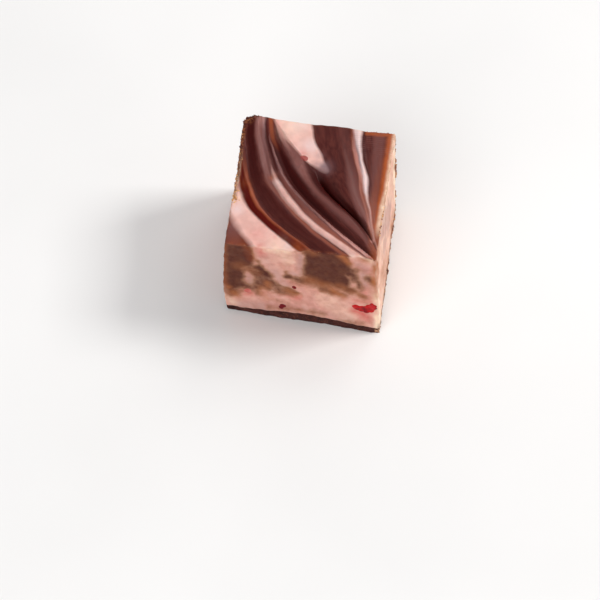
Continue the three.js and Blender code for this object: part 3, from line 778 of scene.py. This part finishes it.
def warped(a, depth, seed, pull):        # pulls a pattern about, coarsely and finely
    spots = np.stack([a, depth, np.full_like(a, seed)], axis=1)
    sideways, down = (lumpyMix(spots, walls["warpLumps"], seed + n) for n in (20, 30))
    return a + pull * sideways, depth + pull * down


def streakAway(a, depth, start, end):        # mm from the middle line of a streak
    along = np.subtract(end, start)
    t = np.clip(((a - start[0]) * along[0] + (depth - start[1]) * along[1]) / (along @ along), 0, 1)
    return np.hypot(a - start[0] - t * along[0], depth - start[1] - t * along[1])


def wallFields(side, a, depth, seed):        # marbling and tints of one wall
    a, depth = warped(a, depth, seed, walls["warp"][side])
    fields = {name: np.zeros_like(a) for name in tints}
    density = np.zeros_like(a)
    streaks = [(kind, *streak) for kind, ofOneKind in walls[side].items() for streak in ofOneKind]
    for kind, start, end, radius, strength in streaks:
        soft = min(walls["softest"], walls["softness"][0] + walls["softness"][1] * radius)
        amount = strength * np.clip(0.5 + (radius - streakAway(a, depth, start, end)) / soft, 0, 1)
        if kind == "chocolate":
            density = density + amount * (1 - np.minimum(density, 1))
        elif kind == "pink":
            density = density * (1 - amount)
        else:
            fields[kind] = np.maximum(fields[kind], amount)
    fields["marble"] = (density - walls["level"]) * walls["spread"]
    return fields


def topFields(x, y):        # marbling, below 0 for pink and above for chocolate, and tints of the top
    spots = np.stack([x, y, np.zeros_like(x)], axis=1)
    x = x + lumpyMix(spots, topMarks["wander"])
    slant = topMarks["slant"]
    marble = (x - strokeX("lip", y) + alongStations(topMarks["lipWall"], y)) * slant
    corner = (alongStations(topMarks["cornerBorder"], y) - x) * slant
    fade, stray, size, seed = topMarks["cornerFade"]
    marble = np.maximum(marble, fade * corner + stray * lumpyNoise(spots, size, seed))
    band = alongStations(topMarks["paleBand"], y) - abs(x - strokeX("paleBand", y))
    marble = np.minimum(marble, -band * slant)
    patch = pinkPatch(x, y)
    for share, blurX, blurY, wide, long in topMarks["blurs"]:
        patch = patch * (1 - share * np.exp(-((x - blurX) / wide) ** 2 - ((y - blurY) / long) ** 2))
    marble = np.minimum(marble, -patch)
    marble = np.minimum(marble, abs(x - strokeX("streak", y)) - alongStations(topMarks["streak"], y))
    fields = {name: np.zeros_like(x) for name in (*tints, "line", "white")}
    end, fade = topMarks["smearFade"]
    for kind, path, widths, strengths in topMarks["smears"]:
        if isinstance(path[0], str):
            shape = swirl["paths"].get(path[0]) or swirl[path[0]]
            middle = alongStations(shape, y) + alongStations(path[1], y)
        else:
            middle = alongStations(path, y)
        away = abs(x - middle) / alongStations(widths, y)
        amount = np.clip(alongStations(strengths, y), 0, 1) * smooth((end - away) / fade)
        fields[kind] = np.maximum(fields[kind], amount)
    for kind, spotX, spotY, radius, strength in topMarks["spots"]:
        spot = strength * np.exp(-np.hypot(x - spotX, y - spotY) ** 2 / radius ** 2)
        fields[kind] = np.maximum(fields[kind], spot)
    darker, most = topMarks["line"]
    lined = np.minimum(most, marble + fields.pop("line") * darker)
    fields["marble"] = np.where(marble < 0, lined, marble)
    return fields


def tintRims(fields, places, onTop):        # adds what lies beside the edges and the pale streak: a painted glow and a painted highlight along the right edge, scratches, and a painted highlight beside the streak
    x, y, depth = places["x"], places["y"], places["depth"]
    for kind, edges in topMarks["rims"].items():
        for strength, ramps in edges:
            fields[kind] = np.maximum(fields[kind], strength * rampsOver(places, ramps) * onTop)
    rim = topMarks["creamRim"]
    start = rim["start"] - rim["wider"] * rampUp(y, *rim["widens"])
    cream = rampUp(x, start, rim["reach"]) * rampUp(y, *rim["fades"])
    low, colourFade, pinkFade = topMarks["creamDepth"]
    fields["cream"] = np.maximum(fields["cream"], cream * (1 - rampUp(depth, low, colourFade)))
    pinker = topMarks["creamPink"] * cream * (1 - rampUp(depth, low, pinkFade))
    fields["marble"] = fields["marble"] - pinker
    reach, ramp = topMarks["streakGlow"]
    glow = np.exp(-((x - strokeX("streak", y)) / reach) ** 2) * rampUp(y, *ramp)
    fields["white"] = np.maximum(fields["white"], glow * onTop)


def marbleFields(points):        # what the finish reads, for every point of the straight block
    x, y, z = points.T
    depth = block["height"] - z
    inwards = {"front": y + half, "back": half - y, "left": x + half, "right": half - x}
    shares = {side: np.clip(1 - away / walls["cornerBlend"], 0, 1) for side, away in inwards.items()}
    shares["front"] = walls["frontShare"] * shares["front"]
    total = sum(shares.values()) + 1e-9
    top = topFields(x, y)
    down = smooth(depth / walls["topBlend"])
    fields = {name: values * (1 - down) for name, values in top.items()}
    for seed, (side, share) in enumerate(shares.items()):
        along = x if side in ("front", "back") else y
        for name, values in wallFields(side, along, depth, seed).items():
            fields[name] = fields[name] + values * down * share / total
    fromSide = np.minimum(half - abs(x), half - abs(y))
    fromCorner = np.maximum(half - abs(x), half - abs(y))
    rim = np.exp(-(np.maximum(fromSide, depth) / walls["rim"]) ** 2)
    corner = np.exp(-(np.maximum(fromCorner, fromSide) / walls["rim"]) ** 2)
    fields["edge"] = np.where(depth > 0.01, np.maximum(rim, corner), rim)
    fields["cut"] = smooth(depth / walls["cutBlend"])
    fields["crumbled"] = crumbled(points)
    fields["across"] = acrossStrokes(swirlPlace(x, y)[0])
    fields["scored"] = np.zeros_like(x)
    tintRims(fields, placesOf(points), 1 - down)
    return fields


# Finish of the marbled block: glossy chocolate and pink on top, matte where it was cut
fudgeFinish = {
    "pinkTop": srgb(229, 183, 173), "pinkTopShade": srgb(217, 170, 160),
    "pinkCut": srgb(218, 165, 150), "pinkCutShade": srgb(208, 149, 137),
    "chocolateTop": srgb(92, 42, 36), "chocolateTopShade": srgb(68, 23, 21),
    "chocolateCut": srgb(102, 60, 44), "chocolateCutShade": srgb(80, 38, 30),
    # The greyish mauve paints sheen and the near-black red paints shade; the red, warm, pale, cream and
    # streak colours also paint shade, glow and highlights in places
    "border": srgb(168, 117, 90), "haze": srgb(136, 89, 84),
    "dark": srgb(56, 8, 6), "red": srgb(98, 14, 5), "warm": srgb(166, 82, 42),
    "warmCut": srgb(172, 102, 62), "pale": srgb(206, 152, 144),
    "blush": srgb(202, 90, 82), "greyTop": srgb(136, 112, 118), "greyCut": srgb(178, 138, 132),
    "cream": srgb(244, 214, 188), "streak": srgb(228, 204, 202),
    "edgeChocolate": srgb(138, 74, 47), "edgePink": srgb(238, 204, 182),
    "crumb": srgb(150, 92, 58), "crumbShade": srgb(70, 26, 20),
    "topRoughness": 0.42, "pinkRoughness": 0.45, "cutRoughness": 0.6,
    "noises": {              # lumps in a mm, detail, seed
        "sway": (0.08, 0.0, 0.0), "grain": (1.3, 4.0, 2.0), "cloud": (0.55, 3.0, 3.0),
        "blotch": (0.9, 4.0, 4.0), "warmth": (0.8, 3.0, 5.0), "wear": (0.5, 3.0, 6.0),
        "bits": (2.4, 2.0, 7.0), "scores": (0.5, 2.0, 8.0), "crumbs": (2.2, 5.0, 9.0),
        "rubble": (1.8, 4.0, 10.0), "cream": (1.2, 3.0, 12.0),
    },
    "drag": (1.9, 2.0, 1.0),         # the same for the lines that the knife dragged along the strokes
    "dragSway": 6.0,
    "scores": {"Scale": 0.62, "Distortion": 2.5, "Detail": 2.0},
    "relief": (0.6, 0.12),           # strength, depth in mm
    "coat": 0.16,            # gloss of the top
    "evenly": {              # the same all over
        "CoatRoughness": 0.16, "SpecularIORLevel": 0.1, "SubsurfaceWeight": 0.25,
        "SubsurfaceRadius": (1.0, 0.4, 0.28), "SubsurfaceScale": 0.5 * mm,
    },
}


def marbledPatterns(start, read):        # every pattern that the finish is mixed from
    look = fudgeFinish
    place = placeIn(start, mm)
    patterns = {name: place.noise(*values) for name, values in look["noises"].items()}
    sway = patterns["sway"] * look["dragSway"]
    along = start.make("ShaderNodeCombineXYZ", {}, {0: read["across"], 1: sway, 2: 0.0})
    patterns["drag"] = along.noise(*look["drag"])
    patterns["grain"] = patterns["grain"] - 0.5
    cut, grain, cloud = read["cut"], patterns["grain"], patterns["cloud"]
    softness = cut * (walls["spread"] / 2 - topMarks["softness"]) + topMarks["softness"]
    ragged = grain * (cut * 0.35 + 0.1) + (cloud - 0.5) * cut * 0.6
    patterns["share"] = ((read["marble"] + ragged) / softness * 0.5 + 0.5).clamp()        # of chocolate
    patterns["greyness"] = read["grey"] * (patterns["blotch"] + 0.4)
    wave = start.make("ShaderNodeTexWave", {"bands_direction": "Y"}, {"Vector": place, **look["scores"]}, 1)
    patterns["scored"] = read["scored"] * wave * patterns["scores"].ramp(0.3, 0.7)
    return patterns


def pinkColour(read, patterns):
    look, cut, blotch = fudgeFinish, read["cut"], patterns["blotch"]
    mottle = patterns["cloud"].ramp(0.35, 0.65)
    pink = cut.mix(mottle.mix(look["pinkTop"], look["pinkTopShade"]),
                   mottle.mix(look["pinkCut"], look["pinkCutShade"]))
    # cream on the cut, in part painted highlight on the right wall and its corner; then red stains, and a
    # whitish painted highlight beside the pale streak and in spots
    pink = (read["cream"] * cut * (blotch * 1.6 + 0.2)).clamp().mix(pink, look["cream"])
    pink = (read["blush"] * (blotch * 1.8 + 0.1)).mix(pink, look["blush"])
    pink = (read["white"] * (blotch + 0.5)).mix(pink, look["streak"])
    return patterns["greyness"].mix(pink, cut.mix(look["greyTop"], look["greyCut"]))


def chocolateColour(read, patterns):
    look, cut, drag = fudgeFinish, read["cut"], patterns["drag"]
    clouded = (patterns["cloud"] + patterns["grain"] * 0.6).ramp(0.15, 0.85)
    tone = drag.ramp(0.25, 0.75) * (1 - cut) + clouded * cut
    chocolate = cut.mix(tone.mix(look["chocolateTop"], look["chocolateTopShade"]),
                        tone.mix(look["chocolateCut"], look["chocolateCutShade"]))
    # painted sheen over the chocolate, streaked along the drag lines, then painted shade, and pale lines that
    # are in part a painted highlight; the grey on top is in part a painted reflection
    streaky = drag * 1.1 + 0.45
    chocolate = (read["haze"] * streaky * 0.9).mix(chocolate, look["haze"])
    chocolate = (patterns["greyness"] * (1 - cut) * 0.6).mix(chocolate, look["greyTop"])
    chocolate = read["dark"].mix(chocolate, look["dark"])
    return (read["pale"] * streaky).ramp(0.05, 0.95).mix(chocolate, look["pale"])


def marbledColour(read, patterns):        # pink, its border, chocolate, and the tints that lie over both, among them painted shade, sheen, glow and highlights
    look, cut, share = fudgeFinish, read["cut"], patterns["share"]
    colour = (share.ramp(0.0, 0.6) * cut * 0.9).mix(pinkColour(read, patterns), look["border"])
    covered = share.ramp(0.2, 1.0) * cut + share * (1 - cut)
    colour = covered.mix(colour, chocolateColour(read, patterns))
    # red, in part painted shade on the lip's outer wall; the warm tint, in part a painted glow along the
    # right edge; the cream on top, a painted highlight along the right edge
    colour = (read["red"] * 0.8).mix(colour, look["red"])
    warmth = read["warm"] * (share * 0.35 + 0.55) * (patterns["warmth"] + 0.45)
    colour = warmth.mix(colour, cut.mix(look["warm"], look["warmCut"]))
    colour = (read["cream"] * (1 - cut) * (patterns["cream"] + 0.3)).mix(colour, look["cream"])
    # edges worn, and painted lighter in part as a highlight where they catch the light
    wornAndLitEdge = read["edge"] * patterns["wear"].ramp(0.3, 0.7) * 0.6
    colour = wornAndLitEdge.mix(colour, share.mix(look["edgePink"], look["edgeChocolate"]))
    bits = patterns["bits"].ramp(0.42, 0.58).mix(look["crumbShade"], look["crumb"])
    colour = (read["crumbled"] * 0.8).mix(colour, bits)
    return (patterns["scored"] * 0.3).mix(colour, look["haze"])


def marbledRoughness(read, patterns):
    look, cut = fudgeFinish, read["cut"]
    onTop = patterns["share"] * (look["topRoughness"] - look["pinkRoughness"]) + look["pinkRoughness"]
    return onTop + cut * (look["cutRoughness"] - onTop) + read["crumbled"] * 0.2


def marbledRelief(read, patterns):
    cut = read["cut"]
    crumbs = patterns["crumbs"] * cut * (patterns["share"] * 0.7 + 0.4)
    rubble = patterns["rubble"] * read["crumbled"] * 2.0
    height = patterns["drag"] * (1 - cut) * 0.12 + crumbs + rubble - patterns["scored"] * 0.3
    return height.bump(*fudgeFinish["relief"])


def marbledMaterial(names):
    material, shader, start = newMaterial("marbledFudgeFinish")
    read = {
        name: start.make("ShaderNodeAttribute", {"attribute_name": name}, output="Fac") for name in names
    }
    patterns = marbledPatterns(start, read)
    gloss = (1 - read["cut"]) * (1 - read["dark"]) * fudgeFinish["coat"] * (1 - read["crumbled"])
    feed(shader, BaseColor=marbledColour(read, patterns), Roughness=marbledRoughness(read, patterns),
         Normal=marbledRelief(read, patterns), CoatWeight=gloss, **fudgeFinish["evenly"])
    return material


def marbledFudge():
    low, high = block["baseThickness"], block["height"]
    piece = straightSlab("marbledFudge", low, high, block["cells"], block["rows"])
    straight = readPoints(piece)
    share = (high - straight[:, 2]) / (high - low)
    straight[:, 2] = high - (high - low) * np.clip(share, 0, 1) ** block["rowCrowding"]
    fields = marbleFields(straight)
    for name, values in fields.items():
        writeAttribute(piece, name, values)
    x, y, z = straight.T
    straight[:, 2] += (baseTop(x, y) - low) * (high - z) / (high - low)
    writePoints(piece, cutShape(straight))
    bpy.ops.object.shade_smooth()
    piece.data.materials.append(marbledMaterial(fields))
    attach(piece, "root")
    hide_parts("cherry_layer", "marbled_top")
    print("marbled block", len(piece.data.polygons), "faces")


# The dark base, a thin even layer with a slightly crumbly cut
base = {
    "cells": 120,
    "rows": 6,
    "gap": 0.02,             # mm under the marbled block
    "grain": ((0.03, 0.4, 8),),            # roughness of its cut in mm, size of the lumps, seed
    "sharpFrom": 50,         # degrees, edges that turn more than this stay sharp
    "chocolate": srgb(70, 27, 21),
    "chocolateShade": srgb(46, 13, 10),
    "chip": srgb(128, 78, 54),
    "dust": srgb(206, 156, 120),        # crumbs rubbed over its right side, lighter there in part as painted light from the key
    "dusty": (0.2, 0.6),     # mm outside the straight wall from which they lie, and all over
    "roughness": 0.55,
    "relief": (0.6, 0.12),   # strength, depth in mm
    "noises": {              # lumps in a mm, detail
        "cloud": (0.7, 4.0), "chips": (3.1, 2.0), "wander": (0.9, 3.0), "dust": (1.6, 3.0),
        "relief": (2.4, 5.0),
    },
}


def baseMaterial():
    material, shader, start = newMaterial("darkBaseFinish")
    place = placeIn(start, mm)
    noises = {name: place.noise(*values) for name, values in base["noises"].items()}
    cloud = noises["cloud"].ramp(0.3, 0.7)
    colour = cloud.mix(base["chocolate"], base["chocolateShade"])
    colour = (noises["chips"].ramp(0.6, 0.68) * 0.6).mix(colour, base["chip"])
    sideways = start.make("ShaderNodeSeparateXYZ", {}, {0: place})
    outside, allOver = (half + distance for distance in base["dusty"])
    dusty = (sideways + noises["wander"] * 0.8).ramp(outside, allOver) * noises["dust"].ramp(0.42, 0.6)
    colour = (dusty * 0.9).mix(colour, base["dust"])
    feed(shader, BaseColor=colour, Roughness=cloud * 0.12 + base["roughness"],
         Normal=noises["relief"].bump(*base["relief"]), SpecularIORLevel=0.2)
    return material


def darkBase():
    piece = straightSlab("darkBase", 0.0, block["baseThickness"], base["cells"], base["rows"])
    straight = readPoints(piece)
    x, y, z = straight.T
    straight[:, 2] = z * (baseTop(x, y) - base["gap"]) / block["baseThickness"]
    shaped = cutShape(straight)
    outward = np.sign(straight[:, :2]) * (abs(straight[:, :2]) > half - 0.01)
    shaped[:, :2] += outward * lumpyMix(straight, base["grain"])[:, None]
    shaped[straight[:, 2] < 1e-6, 2] = 0.0        # the foot stays flat
    writePoints(piece, shaped)
    bpy.ops.object.shade_smooth_by_angle(angle=math.radians(base["sharpFrom"]))
    piece.data.materials.append(baseMaterial())
    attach(piece, "root")
    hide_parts("chocolate_base")
    print("base", len(piece.data.polygons), "faces")


# Bits of cherry: where each lump sits, as x, y and mm below the top on the straight block, its half
# sizes in mm and how it leans in degrees. The knife left those in the front level with the wall
cherries = {
    "cherryFrontRight": {        # the node it stands for, its colours and lumps
        "node": "cherry_front_right", "skin": "red", "shade": "deepRed",
        "lumps": [
            ((11.3, -15.8, 17.2), (0.95, 0.8, 0.9), 4), ((12.4, -15.8, 17.4), (1.1, 0.8, 1.0), 0),
            ((13.3, -15.8, 17.6), (1.0, 0.9, 1.2), 0), ((14.2, -15.8, 17.0), (1.1, 0.9, 1.3), -20),
            ((14.8, -15.8, 16.3), (0.8, 0.9, 1.25), -10),
        ],
    },
    "cherryFrontLow": {
        "node": "cherry_front_low", "skin": "maroon", "shade": "deepRed",
        "lumps": [((-4.2, -15.8, 20.3), (0.7, 0.8, 0.5), 20), ((-4.6, -15.8, 20.9), (0.55, 0.7, 0.6), 0)],
    },
    "cherryFrontMiddle": {
        "node": "cherry_front_middle", "skin": "maroon", "shade": "deepRed",
        "lumps": [((-1.65, -15.8, 13.0), (0.5, 0.6, 0.55), 0)],
    },
    "cherryFrontLeft": {
        "node": "cherry_front_left", "skin": "softRed", "shade": "flesh",
        "lumps": [((-11.5, -15.8, 16.6), (0.75, 0.7, 0.8), -35)],
    },
    "cherryTop": {
        "node": "cherry_top", "skin": "sunkRed", "shade": "maroon",
        "lumps": [((-2.05, 7.0, 0.3), (0.95, 0.95, 0.6), 10)],
    },
}
cherryShape = {
    "voxel": 0.09,           # mm
    "wrinkle": 0.07,         # share of its size
    "wrinkles": ((1.0, 0.8, 12), (0.5, 0.4, 13)),        # share, size, seed
    "proud": 0.1,            # mm that it stands out of the surface
    "rounding": 0.3,         # mm over which it levels off there
    "relief": (0.5, 0.12),   # strength, depth in mm
    "noises": {"shade": (0.9, 3.0), "relief": (2.0, 4.0)},         # lumps in a mm, detail
    "roughness": 0.4,
    "evenly": {              # the same all over
        "CoatWeight": 0.06, "CoatRoughness": 0.2, "SpecularIORLevel": 0.15, "SubsurfaceWeight": 0.15,
        "SubsurfaceRadius": (1.0, 0.3, 0.2), "SubsurfaceScale": 0.3 * mm,
    },
    "red": srgb(186, 10, 14), "deepRed": srgb(112, 2, 10), "flesh": srgb(186, 86, 78),
    "softRed": srgb(202, 118, 108), "sunkRed": srgb(160, 82, 76), "maroon": srgb(104, 10, 22),
}


def cherryMaterial(name, skin, shade):
    material, shader, start = newMaterial(name + "Finish")
    place = placeIn(start, mm)
    noises = {name: place.noise(*values) for name, values in cherryShape["noises"].items()}
    dark = noises["shade"].ramp(0.4, 0.68)
    colour = dark.mix(cherryShape[skin], cherryShape[shade])
    feed(shader, BaseColor=colour, Roughness=dark * 0.1 + cherryShape["roughness"],
         Normal=noises["relief"].bump(*cherryShape["relief"]), **cherryShape["evenly"])
    return material


def cherryBit(name, node, lumps, skin, shade):
    bpy.ops.object.select_all(action="DESELECT")
    for (x, y, below), size, lean in lumps:
        placed = {
            "location": Vector((x, y, block["height"] - below)) * mm,
            "rotation": (0, math.radians(lean), 0),
            "scale": tuple(Vector(size) * mm),
        }
        bpy.ops.mesh.primitive_ico_sphere_add(subdivisions=4, radius=1.0, **placed)
        if bpy.context.mode == "OBJECT":
            piece = bpy.context.object
            bpy.ops.object.transform_apply(location=True, rotation=True, scale=True)
            bpy.ops.object.mode_set(mode="EDIT")
    bpy.ops.object.mode_set(mode="OBJECT")
    piece.name = name
    remesh = piece.modifiers.new("oneSkin", "REMESH")
    remesh.mode = "VOXEL"
    remesh.voxel_size = cherryShape["voxel"] * mm
    bpy.ops.object.modifier_apply(modifier="oneSkin")
    points = readPoints(piece)
    middle = points.mean(axis=0)
    wrinkle = lumpyMix(points, cherryShape["wrinkles"])
    points = middle + (points - middle) * (1 + cherryShape["wrinkle"] * wrinkle)[:, None]
    proud = cherryShape["proud"] * (1 + 0.3 * wrinkle)
    axis, level, way = (2, block["height"], 1) if name == "cherryTop" else (1, -half, -1)
    above = (points[:, axis] - level) * way
    levelled = proud * np.tanh(above / cherryShape["rounding"])
    points[:, axis] = level + way * np.where(above > 0, levelled, above)
    writePoints(piece, cutShape(points))
    bpy.ops.object.shade_smooth()
    piece.data.materials.append(cherryMaterial(name, skin, shade))
    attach(piece, "root")
    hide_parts(node)


# Crumbs that cling to the broken edges: from, to on the straight block, as x, y and mm below the top,
# how many, their smallest and largest size, how far they stray, and their tone from 0, dark, to 1, golden
crumbs = {
    "seed": 11,
    "lumpiness": 0.25,
    "squash": (0.6, 1.1),    # least and most along each of its axes
    "toneSpread": 0.22,
    "grain": (3.2, 3.0),     # lumps in a mm, detail
    "runs": [
        ((-16.0, 15.2, 0.2), (-16.0, 6.0, 0.2), 60, 0.09, 0.24, 0.35, 0.38),
        # the crumbs on the left edge are golden in part as painted light that they catch
        ((-16.0, 8.0, 0.2), (-16.0, 0.0, 0.2), 44, 0.10, 0.22, 0.35, 0.75),
        ((-15.9, 1.5, 0.2), (-15.8, -5.4, 0.2), 46, 0.08, 0.2, 0.5, 0.95),
        ((-15.5, -2.6, 0.1), (-15.6, -5.4, 0.1), 40, 0.1, 0.32, 0.7, 1.0),
        ((-15.2, 8.0, 0.1), (-15.2, 3.5, 0.1), 30, 0.07, 0.16, 0.5, 0.5),
        ((-15.9, 15.9, 0.2), (-12.6, 16.0, 0.1), 54, 0.12, 0.34, 0.5, 0.22),
        ((-15.9, 15.9, 0.4), (-16.0, 15.9, 8.0), 26, 0.10, 0.24, 0.5, 0.2),
        ((16.0, 15.9, 8.8), (16.0, 15.9, 13.8), 64, 0.16, 0.42, 0.4, 0.65),
        ((16.0, 15.9, 18.6), (16.0, 15.9, 20.2), 16, 0.16, 0.4, 0.3, 0.6),
        ((16.0, 15.9, 1.0), (16.0, 15.9, 23.0), 60, 0.10, 0.22, 0.3, 0.8),
        ((15.7, 15.6, 24.2), (15.7, 5.0, 24.2), 150, 0.14, 0.36, 0.35, 0.5),
        ((15.8, 5.0, 24.0), (15.8, -15.5, 24.1), 60, 0.10, 0.22, 0.3, 0.85),
        ((16.1, -10.0, 0.1), (16.1, -3.0, 0.1), 40, 0.08, 0.2, 0.3, 0.75),
        ((10.0, 16.0, 0.0), (15.8, 16.0, 0.0), 16, 0.07, 0.14, 0.12, 0.4),
        ((-15.8, -16.0, 0.1), (-11.2, -16.0, 0.0), 14, 0.05, 0.1, 0.1, 0.45),
        ((1.0, -16.0, 0.0), (10.0, -16.0, 0.0), 16, 0.05, 0.1, 0.1, 0.35),
        ((-16.0, -15.9, 1.4), (-16.0, -15.9, 16.0), 30, 0.06, 0.14, 0.15, 0.7),
    ],
    "dark": srgb(64, 26, 20), "brown": srgb(126, 62, 44), "golden": srgb(222, 168, 112),
}


def crumbMaterial():
    material, shader, start = newMaterial("crumbFinish")
    tone = start.make("ShaderNodeAttribute", {"attribute_name": "tone"}, output="Fac")
    grain = placeIn(start, mm).noise(*crumbs["grain"])
    tone = tone + (grain - 0.5) * 0.5
    stops = [(0.0, crumbs["dark"]), (0.45, crumbs["brown"]), (1.0, crumbs["golden"])]
    colour = start.make("ShaderNodeValToRGB", {"stops": stops}, {"Fac": tone})
    feed(shader, BaseColor=colour, Roughness=grain * 0.3 + 0.45, Normal=grain.bump(0.5, 0.08),
         SpecularIORLevel=0.3)
    return material


def clingingCrumbs():
    bpy.ops.object.select_all(action="DESELECT")
    bpy.ops.mesh.primitive_ico_sphere_add(subdivisions=2, radius=mm, location=(0, 0, 0))
    piece = bpy.context.object
    piece.name = "clingingCrumbs"
    shape = readPoints(piece)
    faces = np.array([face.vertices[:] for face in piece.data.polygons])
    draw = np.random.default_rng(crumbs["seed"])
    points, corners, tones = [], [], []
    for start, end, count, smallest, largest, stray, tone in crumbs["runs"]:
        for share in draw.uniform(0, 1, count):
            at = np.add(start, np.subtract(end, start) * share) + draw.normal(0, stray * 0.5, 3)
            at[2] = block["height"] - at[2]
            at = np.clip(at, (-half, -half, 0.5), (half, half, block["height"]))
            size = smallest + (largest - smallest) * draw.uniform() ** 2
            squashed = shape * draw.uniform(*crumbs["squash"], 3)
            lump = squashed * (1 + crumbs["lumpiness"] * draw.normal(0, 1, (len(shape), 1)))
            turn = np.array(Euler(draw.uniform(0, math.tau, 3)).to_matrix())
            corners.append(faces + len(points) * len(shape))
            points.append(cutShape(at[None]) + lump @ turn.T * size)
            tones.append(np.full(len(shape), tone + draw.normal(0, crumbs["toneSpread"])))
    points = np.concatenate(points)
    points[:, 2] = np.maximum(points[:, 2], 0.02)
    piece.data.clear_geometry()
    piece.data.from_pydata((points * mm).tolist(), [], np.concatenate(corners).tolist())
    writeAttribute(piece, "tone", np.clip(np.concatenate(tones), 0, 1))
    bpy.ops.object.shade_smooth()
    piece.data.materials.append(crumbMaterial())
    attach(piece, "root")
    print("crumbs", len(piece.data.polygons), "faces")


placeCamera()
lightStudio()
print("camera and studio set")
marbledFudge()
darkBase()
for name, details in cherries.items():
    cherryBit(name, **details)
print("cherries", len(cherries))
clingingCrumbs()
